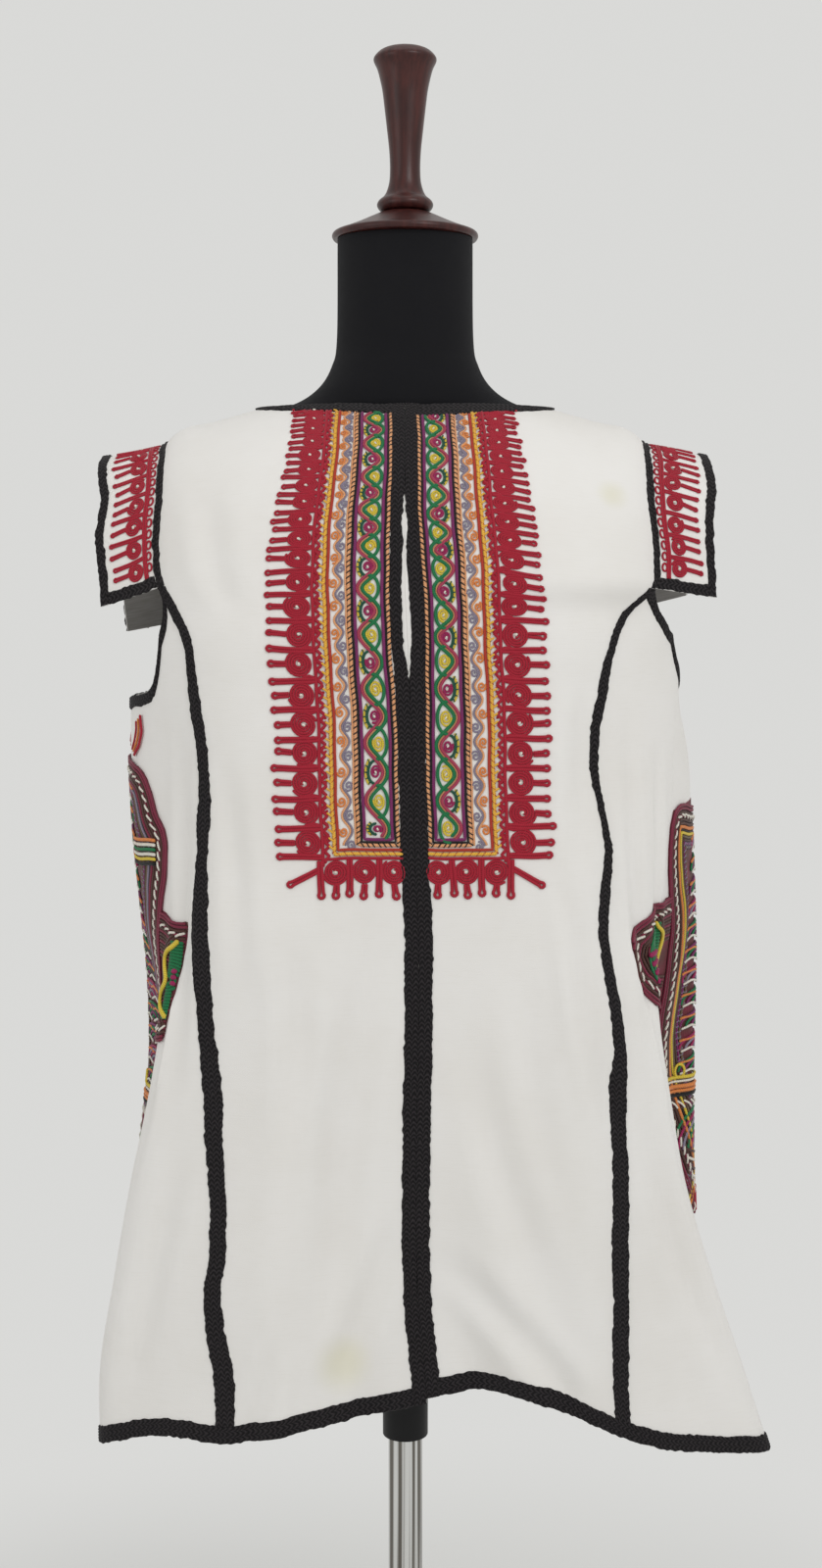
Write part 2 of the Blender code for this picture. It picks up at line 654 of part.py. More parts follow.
def make_panels(half, word, grids, materials, collection):
    for name in ("front", "gore_front", "gusset", "gore_back"):
        material = materials["embroidered_cloth" if name == "gusset" else "white_cloth"]
        points, normals = surface(half, *grids[name])
        shell(f"{name}_{word}", points, normals, 0.0, CLOTH, material, collection)


def make_back(grids, materials, collection):
    """Both halves of the back in one panel, from the right princess seam to the left one."""
    right, right_normals = surface(1, *grids[1]["back"])
    left, left_normals = surface(-1, *grids[-1]["back"])
    points = np.concatenate([right, left[:, -2::-1]], axis=1)
    normals = np.concatenate([right_normals, left_normals[:, -2::-1]], axis=1)
    shell("back", points, normals, 0.0, CLOTH, materials["white_cloth"], collection)
    lift = CLOTH + CLEAR
    black = materials["black_braid"]
    neck = (slice(0, 2), slice(BACK_NECK_COLUMN, -BACK_NECK_COLUMN))
    shell("neck_braid_back", points[neck], normals[neck], lift, BRAID, black, collection)


def make_braids(half, word, grids, materials, collection):
    front, gore, gusset, gore_back, back = (
        grids[name] for name in ("front", "gore_front", "gusset", "gore_back", "back")
    )
    foot = ROLL_ROWS + 2  # the row at the foot of the sleeve
    below = slice(foot, None)
    every = slice(None)
    braid(f"edge_braid_{word}", half, *joined(column(front, 0), column(front, 1)), materials, collection)
    neck = (slice(0, 2), slice(1, NECK_COLUMN + 1))
    u, v = front[0][neck].copy(), front[1][neck]
    u[:, 0] += beside(half, FRONT_EDGE, v[:, 0], CLEAR, 1)
    braid(f"neck_braid_{word}", half, u, v, materials, collection)
    for label, before, after, seam_u in (
        ("front", front, gore, PRINCESS),
        ("back", gore_back, back, BACK_PRINCESS),
    ):
        rows_before, rows_after = (below, every) if label == "front" else (every, below)
        middle = gore if label == "front" else gore_back
        index = 0 if label == "front" else -1
        u, v = joined(
            column(before, -2, rows_before), on_seam(middle, index, every, seam_u), column(after, 1, rows_after)
        )
        u, v = u[:-1].copy(), v[:-1].copy()
        v[0] += CLEAR / metres_per(half, u[0], v[0], "v")
        v[-1] -= CLEAR / metres_per(half, u[-1], v[-1], "v")
        braid(f"princess_braid_{label}_{word}", half, u, v, materials, collection)
    ring = [column(gore, k) for k in range(1, GORE_COLUMNS)]
    ring += [on_seam(gore, -1, every, VALLEY)]
    ring += [column(gusset, k) for k in range(1, GUSSET_COLUMNS)]
    ring += [on_seam(gusset, -1, every, BACK_VALLEY)]
    ring += [column(gore_back, k) for k in range(1, GORE_COLUMNS)]
    u, v = joined(*ring)
    top_u, top_v = u[:2].copy(), v[:2]
    top_u[:, 0] += CLEAR / metres_per(half, top_u[:, 0], top_v[:, 0], "u")
    top_u[:, -1] -= CLEAR / metres_per(half, top_u[:, -1], top_v[:, -1], "u")
    braid(f"underarm_braid_{word}", half, top_u, top_v, materials, collection)
    u, v = joined(
        *[column(front, k, slice(-2, None)) for k in range(1, front[0].shape[1] - 1)],
        on_seam(gore, 0, slice(-2, None), PRINCESS),
        *[column(gore, k, slice(-2, None)) for k in range(1, GORE_COLUMNS + 1)],
    )
    u = u.copy()
    u[:, 0] += CLEAR / metres_per(half, u[:, 0], v[:, 0], "u")
    braid(f"hem_braid_front_{word}", half, u, v, materials, collection)
    u, v = gusset[0][-2:], gusset[1][-2:]
    braid(f"hem_braid_side_{word}", half, u, v, materials, collection)
    return foot


def back_hem(grids, materials, collection):
    """The hem braid behind, from one side gusset to the other."""
    last = slice(-2, None)
    halves = []
    for half in (1, -1):
        gore, back = grids[half]["gore_back"], grids[half]["back"]
        u, v = joined(
            *[column(gore, k, last) for k in range(GORE_COLUMNS)],
            on_seam(gore, -1, last, BACK_PRINCESS),
            *[column(back, k, last) for k in range(1, back[0].shape[1])],
        )
        halves.append(surface(half, u, v))
    points = np.concatenate([halves[0][0], halves[1][0][:, -2::-1]], axis=1)
    normals = np.concatenate([halves[0][1], halves[1][1][:, -2::-1]], axis=1)
    shell("hem_braid_back", points, normals, CLOTH + CLEAR, BRAID, materials["black_braid"], collection)


def sleeve_point(half, across, along):
    """The sleeve band: from the armhole edge out to an arch of its own. along runs from -1 in front to 1 behind."""
    in_front = along < 0
    v = np.abs(along) * np.where(in_front, ARMHOLE_FRONT, ARMHOLE_BACK)
    inner = smooth_point(half, np.where(in_front, float(PRINCESS), float(BACK_PRINCESS)), v)
    inner[..., 0] += half * CLEAR
    sweep = np.abs(along) * SLEEVE_SWEEP
    foot = np.where(in_front, SLEEVE_FOOT_FRONT[half], SLEEVE_FOOT_BACK[half])
    drop = (SLEEVE_TOP_Z - foot) * (1 - np.cos(sweep)) / (1 - math.cos(SLEEVE_SWEEP))
    outer = np.stack(
        [
            half * (SLEEVE_OUT_X - SLEEVE_LEAN[half] * along**2),
            np.sign(along) * SLEEVE_OUT_Y * np.sin(sweep),
            SLEEVE_TOP_Z - drop,
        ],
        -1,
    )
    return inner + (outer - inner) * across[..., None]


def sleeve_grid(half, grids, foot):
    """Points and normals of the sleeve band. Its inner column leans as the body's cloth does there."""
    front_v = grids["front"][1][1 : foot + 1, -1]
    back_v = grids["back"][1][1 : foot + 1, 0]
    along = np.concatenate([-front_v[::-1] / ARMHOLE_FRONT, [0.0], back_v / ARMHOLE_BACK])
    width = SLEEVE_OUT_X - RIDGE[-2].x
    braid_edge = ARMHOLE_BRAID / 2 / width
    across = [0.0, braid_edge, braid_edge + CLEAR / width, *SLEEVE_MIDDLE, 1 - SLEEVE_BRAID / width, 1.0]
    across, along = np.meshgrid(across, along)
    points = sleeve_point(half, across, along)
    step = 1e-3
    around = sleeve_point(half, across + step, along) - sleeve_point(half, across - step, along)
    onward = sleeve_point(half, across, along + step) - sleeve_point(half, across, along - step)
    normals = half * np.cross(around, onward)
    normals /= np.linalg.norm(normals, axis=-1, keepdims=True)
    in_front = along[:, 0] < 0
    seam_u = np.where(in_front, float(PRINCESS), float(BACK_PRINCESS))
    seam_v = np.abs(along[:, 0]) * np.where(in_front, ARMHOLE_FRONT, ARMHOLE_BACK)
    normals[:, 0] = surface(half, seam_u, seam_v)[1]
    beside_u = [grids["front"][0][1 : foot + 1, -2][::-1], grids["back"][0][: foot + 1, 1]]
    return points, normals, np.concatenate(beside_u), seam_v


def make_sleeve(half, word, grids, foot, materials, collection):
    points, normals, beside_u, seam_v = sleeve_grid(half, grids, foot)
    shell(f"sleeve_{word}", points, normals, 0.0, CLOTH, materials["white_cloth"], collection)
    rows, columns = points.shape[0] - 1, points.shape[1] - 1
    edge = np.zeros((rows, columns), bool)
    edge[:, -1] = True
    edge[0, 2:] = edge[-1, 2:] = True  # clear of the armhole braid, which ends one column before
    lift = CLOTH + CLEAR
    black = materials["black_braid"]
    shell(f"sleeve_braid_{word}", points, normals, lift, BRAID, black, collection, edge)
    body, body_normals = surface(half, beside_u, seam_v)
    strip = np.concatenate([body[:, None], points[:, :2]], 1)
    strip_normals = np.concatenate([body_normals[:, None], normals[:, :2]], 1)
    shell(f"armhole_braid_{word}", strip, strip_normals, lift, BRAID, black, collection)


def main():
    clear_scene()
    collection = bpy.data.collections.new("embroidered_folk_coat")
    bpy.context.scene.collection.children.link(collection)
    materials = make_materials()
    make_stand(materials, collection)
    make_torso(materials["black_jersey"], collection)
    turned("neck_cap", capped(CAP_PROFILE), materials["dark_wood"], collection, NECK_Y)
    turned("finial", capped(FINIAL_PROFILE), materials["dark_wood"], collection, NECK_Y)
    grids = {half: panel_grids(half) for half in (1, -1)}
    for half, word in ((1, "right"), (-1, "left")):
        make_panels(half, word, grids[half], materials, collection)
        foot = make_braids(half, word, grids[half], materials, collection)
        make_sleeve(half, word, grids[half], foot, materials, collection)
    make_back(grids, materials, collection)
    back_hem(grids, materials, collection)


main()
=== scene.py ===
import math

import bpy
import numpy as np
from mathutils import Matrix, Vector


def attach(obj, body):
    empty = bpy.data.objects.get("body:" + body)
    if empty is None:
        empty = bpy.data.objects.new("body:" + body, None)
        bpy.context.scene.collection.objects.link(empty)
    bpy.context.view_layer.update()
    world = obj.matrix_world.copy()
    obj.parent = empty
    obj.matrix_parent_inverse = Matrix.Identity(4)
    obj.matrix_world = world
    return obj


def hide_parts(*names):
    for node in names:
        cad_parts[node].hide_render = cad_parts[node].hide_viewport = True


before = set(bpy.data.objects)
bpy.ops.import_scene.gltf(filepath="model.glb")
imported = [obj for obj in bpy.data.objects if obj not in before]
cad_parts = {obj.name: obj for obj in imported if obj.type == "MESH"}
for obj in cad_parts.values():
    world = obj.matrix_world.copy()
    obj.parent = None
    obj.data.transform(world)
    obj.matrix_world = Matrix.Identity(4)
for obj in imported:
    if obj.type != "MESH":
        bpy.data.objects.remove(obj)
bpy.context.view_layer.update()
print("frame loaded:", len(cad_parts), "nodes")

right, left = 1, -1
sideWord = {right: "right", left: "left"}


# Camera: the photograph's own place, height and tilt
cameraSettings = {
    "place": (0.005, -1.766, 1.228),
    "tiltDown": 4.8,  # degrees
    "lens": 47.0,  # on a sensor 36 mm high
}


def makeCamera(settings):
    lens = bpy.data.cameras.new("studioCamera")
    lens.sensor_fit = "VERTICAL"
    lens.sensor_height = 36
    lens.lens = settings["lens"]
    lens.clip_end = 60
    item = bpy.data.objects.new("studioCamera", lens)
    item.location = settings["place"]
    item.rotation_euler = (math.radians(90 - settings["tiltDown"]), 0, 0)
    bpy.context.scene.collection.objects.link(item)
    bpy.context.scene.camera = item


makeCamera(cameraSettings)


# Shader maths: a Flow is one socket of a material, and arithmetic on it adds Math nodes
class Flow:
    def __init__(self, paint, socket):
        self.paint, self.socket = paint, socket

    def math(self, operation, *others):
        return self.paint.node("ShaderNodeMath", {"operation": operation}, [self, *others])

    def __add__(self, other):
        return self.math("ADD", other)

    def __radd__(self, other):
        return self + other

    def __sub__(self, other):
        return self.math("SUBTRACT", other)

    def __rsub__(self, other):
        return self.paint.node("ShaderNodeMath", {"operation": "SUBTRACT"}, [other, self])

    def __mul__(self, other):
        return self.math("MULTIPLY", other)

    def __rmul__(self, other):
        return self * other

    def __pow__(self, other):
        return self.math("POWER", other)

    def sine(self):
        return self.math("SINE")

    def size(self):
        return self.math("ABSOLUTE")

    def over(self, low, high):  # 0 below low, 1 above high, smooth between
        settings = {"interpolation_type": "SMOOTHSTEP"}
        return self.paint.node("ShaderNodeMapRange", settings, {0: self, 1: low, 2: high, 3: 0.0, 4: 1.0})


class Paint:
    # one material with a Principled shader, whose fixed values are given by socket name
    def __init__(self, name, **fixed):
        self.material = bpy.data.materials.new(name)
        self.material.use_nodes = True
        self.tree = self.material.node_tree
        self.shader = self.tree.nodes["Principled BSDF"]
        for key, value in fixed.items():
            self.shader.inputs[key.replace("_", " ")].default_value = value

    # any node: its type, its settings, then the values or links of its sockets
    def node(self, kind, settings=None, values=(), output=0):
        made = self.tree.nodes.new(kind)
        for key, value in (settings or {}).items():
            setattr(made, key, value)
        for key, value in values.items() if isinstance(values, dict) else enumerate(values):
            if isinstance(value, Flow):
                self.tree.links.new(value.socket, made.inputs[key])
            else:
                made.inputs[key].default_value = value
        return Flow(self, made.outputs[output])

    def feed(self, name, flow):
        self.tree.links.new(flow.socket, self.shader.inputs[name])

    def place(self):  # Object coordinates
        return self.node("ShaderNodeTexCoord", output="Object")

    def onSurface(self):  # the piece's own UV map, in metres along the cloth
        return self.node("ShaderNodeTexCoord", output="UV")

    def parts(self, vector):
        split = self.node("ShaderNodeSeparateXYZ", values=[vector])
        return [Flow(self, split.socket.node.outputs[k]) for k in range(3)]

    def stretched(self, vector, scale):
        return self.node("ShaderNodeMapping", values={"Vector": vector, "Scale": scale})

    def noise(self, vector, scale, detail=3.0, roughness=0.5):
        values = {"Vector": vector, "Scale": scale, "Detail": detail, "Roughness": roughness}
        return self.node("ShaderNodeTexNoise", values=values)

    def blend(self, share, first, second):  # colours
        return self.node("ShaderNodeMix", {"data_type": "RGBA"}, {0: share, 6: first, 7: second}, output=2)

    def tone(self, share, first, second):  # the base colour, from one display colour to another
        self.feed("Base Color", self.blend(share, colour(first), colour(second)))

    def bump(self, height, distance, strength=1.0):
        values = {"Height": height, "Distance": distance, "Strength": strength}
        self.feed("Normal", self.node("ShaderNodeBump", values=values))


def colour(code):  # a display colour such as "A82036", as linear red, green, blue and alpha
    channels = [int(code[k : k + 2], 16) / 255 for k in (0, 2, 4)]
    return tuple(c / 12.92 if c <= 0.04045 else ((c + 0.055) / 1.055) ** 2.4 for c in channels) + (1.0,)


# Washed cotton: plain weave, faint unevenness of the yarns, two pale stains, and painted shade on the inner
# faces of the sleeve bands
cottonLook = {
    "base": "E6E4E1",
    "shade": "DFDCD7",
    "stain": "D2CDA4",
    "stains": [(0.171, -0.100, 1.326, 0.020), (-0.050, -0.150, 0.622, 0.034)],  # place and radius
    # colour of the painted shade inside the sleeve bands
    "paintedInnerShade": "85827E",
    "yarn": 0.00042,  # pitch of the weave
}


def makeCotton(settings):
    fixed = {"Roughness": 0.92, "Sheen_Weight": 0.12, "Sheen_Roughness": 0.6, "Specular_IOR_Level": 0.25}
    paint = Paint("washedCotton", **fixed)
    surface, place = paint.onSurface(), paint.place()
    across, down, _ = paint.parts(surface)
    slubs = paint.noise(paint.stretched(surface, (60.0, 900.0, 1.0)), 1.0)
    clouds = paint.noise(place, 9.0, 4.0, 0.55)
    share = clouds.over(0.35, 0.75) * 0.6 + slubs.over(0.45, 0.8) * 0.3
    base = paint.blend(share, colour(settings["base"]), colour(settings["shade"]))
    x, y, z = paint.parts(place)
    for stainX, stainY, stainZ, radius in settings["stains"]:
        far = ((x - stainX) * (x - stainX) + (y - stainY) * (y - stainY) + (z - stainZ) * (z - stainZ)) ** 0.5
        near = 1.0 - (far * (1 / radius) + clouds * 0.8).over(0.55, 1.35)
        base = paint.blend(near * 0.4, base, colour(settings["stain"]))
    # painted shade on the inner faces of the sleeve bands, where their mask is set
    paintedInnerShade = paint.node("ShaderNodeAttribute", {"attribute_name": "paintedInnerShade"})
    base = paint.blend(paint.parts(paintedInnerShade)[0] * (0.8 + slubs * 0.3), base, colour(settings["paintedInnerShade"]))
    paint.feed("Base Color", base)
    turn = 2 * math.pi / settings["yarn"]
    weave = (across * turn).sine() * (down * turn).sine()
    paint.bump(weave * 0.5 + slubs * 1.2 + clouds * 1.5, 0.00012, 0.6)
    return paint.material


# Flat wool braid: black, matte, with stray fibres in the bump, and painted highlights on the plait's chevrons
# and stray fibres
braidLook = {"base": "0D0B0D", "light": "322E30", "rib": 0.0052, "stitch": 0.0042}


def makeBraidWool(settings):
    fixed = {"Roughness": 0.86, "Sheen_Weight": 0.06, "Sheen_Roughness": 0.5, "Specular_IOR_Level": 0.2}
    paint = Paint("blackWoolBraid", **fixed)
    surface = paint.onSurface()
    fibres = paint.noise(paint.stretched(surface, (500.0, 2600.0, 1.0)), 1.0, 4.0, 0.65)
    # painted highlights on the chevrons of the plait: a sine down the braid, its phase swinging from rib to
    # rib
    along, across, _ = paint.parts(surface)
    uneven = paint.noise(surface, 160.0, 2.0) * 7.0
    swing = (across * (math.pi / settings["rib"])).sine().size() * 5.2 + uneven
    plait = (along * (2 * math.pi / settings["stitch"]) + swing).sine() * 0.5 + 0.5
    # painted highlights: the chevrons and stray fibres take the light tone
    share = (plait * 0.4 + fibres * 0.8).over(0.42, 0.95)
    paint.tone(share, settings["base"], settings["light"])
    paint.bump(fibres * 0.6 + plait, 0.00035, 0.7)
    return paint.material


# Couched cords: the dye is stored on each point, and the yarn's twist runs round the cord, painted as shade
# in its grooves
cordLook = {"twist": 0.0016}  # length of one turn of the yarn


def makeCordWool(settings):
    fixed = {"Roughness": 0.72, "Sheen_Weight": 0.15, "Sheen_Roughness": 0.4, "Specular_IOR_Level": 0.3}
    paint = Paint("couchedCord", **fixed)
    dye = paint.node("ShaderNodeAttribute", {"attribute_name": "dye"})
    along, around, _ = paint.parts(paint.onSurface())
    twist = (along * (2 * math.pi / settings["twist"]) + around * (4 * math.pi)).sine() * 0.5 + 0.5
    fibres = paint.noise(paint.place(), 900.0, 3.0, 0.6)
    # painted shade: a darkened copy of the dye lies in the grooves of the twist, scattered a little by the
    # fibre noise
    twistShade = paint.blend(0.32, dye, (0.0, 0.0, 0.0, 1.0))
    paint.feed("Base Color", paint.blend((twist * 0.5 + fibres * 0.6).over(0.25, 0.85), twistShade, dye))
    paint.bump(twist + fibres * 0.5, 0.00018, 0.6)
    return paint.material


# Jersey of the form: fine ribs of knit stitches, with painted shade between the wales
jerseyLook = {"base": "101013", "light": "19191C", "wale": 0.0013, "course": 0.0010}


def makeJersey(settings):
    fixed = {"Roughness": 0.9, "Sheen_Weight": 0.04, "Sheen_Roughness": 0.5, "Specular_IOR_Level": 0.16}
    paint = Paint("blackJersey", **fixed)
    across, down, _ = paint.parts(paint.onSurface())
    wale = (across * (math.pi / settings["wale"])).sine().size()
    course = (down * (2 * math.pi / settings["course"]) + wale * 2.5).sine() * 0.5 + 0.5
    clouds = paint.noise(paint.place(), 40.0, 3.0)
    # painted shade: the wales are lighter and the grooves between them darker; the clouds are the knit's own
    # uneven tone
    share = wale * 0.5 + clouds * 0.4
    paint.tone(share, settings["base"], settings["light"])
    paint.bump(wale * course, 0.00025, 0.5)
    return paint.material


# Turned, stained wood: growth rings drawn out along the height, under satin lacquer
woodLook = {"dark": "2A100F", "light": "4A221E"}


def makeWood(settings):
    paint = Paint("stainedWood", Roughness=0.34, Coat_Weight=0.08, Coat_Roughness=0.3, Specular_IOR_Level=0.3)
    place = paint.place()
    grain = paint.noise(paint.stretched(place, (38.0, 38.0, 3.2)), 4.0, 6.0, 0.6)
    pores = paint.noise(paint.stretched(place, (420.0, 420.0, 16.0)), 1.0)
    share = grain.over(0.35, 0.7) * 0.7 + pores * 0.3
    paint.tone(share, settings["dark"], settings["light"])
    paint.feed("Roughness", pores * 0.12 + 0.30)
    paint.bump(pores * 0.4 + grain * 0.6, 0.0002, 0.35)
    return paint.material


# Chrome plate, with painted reflections streaked down it, and moulded plastic of the stand
# the chrome tone and the dark tone are the two sides of the painted reflection streaks
standLook = {"chrome": "DCDCDA", "paintedDarkReflection": "6E6A64", "plastic": "0F0F11", "grain": "262627"}


def makeChrome(settings):
    paint = Paint("chromePlate", Metallic=1.0)
    # painted reflections: long pale and dark streaks down the pole
    reflectionBands = paint.noise(paint.stretched(paint.place(), (260.0, 260.0, 1.5)), 1.0, 2.0, 0.5).over(0.42, 0.58)
    paint.tone(reflectionBands, settings["paintedDarkReflection"], settings["chrome"])
    smears = paint.noise(paint.place(), 30.0, 4.0, 0.6)
    paint.feed("Roughness", smears.over(0.4, 0.8) * 0.12 + 0.09)
    return paint.material


def makePlastic(settings):
    paint = Paint("blackPlastic", Specular_IOR_Level=0.22)
    grains = paint.noise(paint.place(), 1400.0, 2.0)
    paint.tone(grains * 0.5, settings["plastic"], settings["grain"])
    paint.feed("Roughness", grains * 0.15 + 0.42)
    paint.bump(grains, 0.00008, 0.4)
    return paint.material


finish = {
    "white_cotton": makeCotton(cottonLook),
    "black_braid": makeBraidWool(braidLook),
    "embroidery": makeCordWool(cordLook),
    "black_jersey": makeJersey(jerseyLook),
    "dark_wood": makeWood(woodLook),
    "chrome": makeChrome(standLook),
    "black_plastic": makePlastic(standLook),
}
print("materials made:", len(finish))


# Whether faces point inwards: then the signed volume inside them, from the points' middle, is below zero
def pointInwards(points, quads, triangles):
    points = points - points.mean(0)
    a, b, c, d = (points[quads[:, k]] for k in range(4))
    e, f, g = (points[triangles[:, k]] for k in range(3))
    return np.sum(a * np.cross(b, c)) + np.sum(a * np.cross(c, d)) + np.sum(e * np.cross(f, g)) < 0


# Meshes from arrays: quads and triangles are rows of point numbers, turned so that the faces point outwards
def meshFrom(name, points, quads, triangles=None, cornerMap=None, pointDyes=None):
    triangles = np.zeros((0, 3), int) if triangles is None else triangles
    if pointInwards(points, quads, triangles):
        quads, triangles = quads[:, ::-1], triangles[:, ::-1]
        if cornerMap is not None:
            ofQuads, ofTriangles = np.split(cornerMap, [4 * len(quads)])
            turned = [ofQuads.reshape(-1, 4, 2)[:, ::-1], ofTriangles.reshape(-1, 3, 2)[:, ::-1]]
            cornerMap = np.concatenate([part.reshape(-1, 2) for part in turned])
    corners = np.concatenate([quads.ravel(), triangles.ravel()]).astype(np.int32)
    sizes = np.concatenate([np.full(len(quads), 4), np.full(len(triangles), 3)])
    mesh = bpy.data.meshes.new(name)
    mesh.vertices.add(len(points))
    mesh.vertices.foreach_set("co", points.astype(np.float32).ravel())
    mesh.loops.add(len(corners))
    mesh.loops.foreach_set("vertex_index", corners)
    mesh.polygons.add(len(sizes))
    mesh.polygons.foreach_set("loop_start", (np.cumsum(sizes) - sizes).astype(np.int32))
    mesh.update(calc_edges=True)
    if cornerMap is not None:
        layer = mesh.uv_layers.new(name="surface")
        layer.data.foreach_set("uv", cornerMap.astype(np.float32).ravel())
    if pointDyes is not None:
        layer = mesh.color_attributes.new(name="dye", type="FLOAT_COLOR", domain="POINT")
        layer.data.foreach_set("color", pointDyes.astype(np.float32).ravel())
    mesh.validate()
    mesh.shade_smooth()
    return mesh


def addPiece(name, mesh, slot, body="form", instead=(), sharp=None):
    if sharp is not None:
        mesh.set_sharp_from_angle(angle=math.radians(sharp))
    mesh.materials.append(finish[slot])
    item = bpy.data.objects.new(name, mesh)
    bpy.context.scene.collection.objects.link(item)
    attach(item, body)
    if instead:
        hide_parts(*instead)
    return item


# Quads of a grid of points, numbered row by row; wrapped joins the last column to the first
def gridQuads(rows, columns, wrapped=False, start=0):
    r = np.arange(rows - 1)[:, None]
    c = np.arange(columns if wrapped else columns - 1)[None, :]
    after = (c + 1) % columns
    return start + np.stack(
        [r * columns + c, r * columns + after, (r + 1) * columns + after, (r + 1) * columns + c], -1
    ).reshape(-1, 4)


# A wall: an inner and an outer grid, joined round the rim by a row that bulges a little, as a turned edge
# does. flat holds each point's place on the flat cloth
def wallMesh(name, inner, outer, flat):
    rows, columns = inner.shape[:2]
    count = rows * columns
    innerQuads = gridQuads(rows, columns)[:, ::-1]
    outerQuads = gridQuads(rows, columns, start=count)
    number = np.arange(count).reshape(rows, columns)
    rim = np.concatenate([number[0, :-1], number[:-1, -1], number[-1, :0:-1], number[:0:-1, 0]])
    r, c = np.divmod(rim, columns)
    insideR, insideC = np.clip(r, 1, rows - 2), np.clip(c, 1, columns - 2)
    middle = (inner[r, c] + outer[r, c]) / 2
    inward = (inner[insideR, insideC] + outer[insideR, insideC]) / 2 - middle
    inward /= np.linalg.norm(inward, axis=1, keepdims=True) + 1e-12
    thickness = np.linalg.norm(outer[r, c] - inner[r, c], axis=1, keepdims=True)
    bulge = middle - inward * thickness * 0.22
    nextRim = np.roll(rim, -1)
    fold = 2 * count + np.arange(len(rim))
    nextFold = np.roll(fold, -1)
    innerRim = np.stack([rim, nextRim, nextFold, fold], 1)
    outerRim = np.stack([fold, nextFold, count + nextRim, count + rim], 1)
    points = np.concatenate([inner.reshape(-1, 3), outer.reshape(-1, 3), bulge])
    quads = np.concatenate([innerQuads, outerQuads, innerRim, outerRim])
    flatAll = np.concatenate([flat.reshape(-1, 2), flat.reshape(-1, 2), flat[r, c]])
    return meshFrom(name, points, quads, cornerMap=flatAll[quads.ravel()])


# Rings closed by a fan at each end, whose middle points are given
def closedRings(grid, firstMiddle, lastMiddle):
    rows, columns = grid.shape[:2]
    count, last = rows * columns, (rows - 1) * columns
    k = np.arange(columns)
    after = (k + 1) % columns
    firstFan = np.stack([np.full(columns, count), after, k], 1)
    lastFan = np.stack([np.full(columns, count + 1), last + k, last + after], 1)
    points = np.concatenate([grid.reshape(-1, 3), [firstMiddle, lastMiddle]])
    return points, gridQuads(rows, columns, wrapped=True), np.concatenate([firstFan, lastFan])


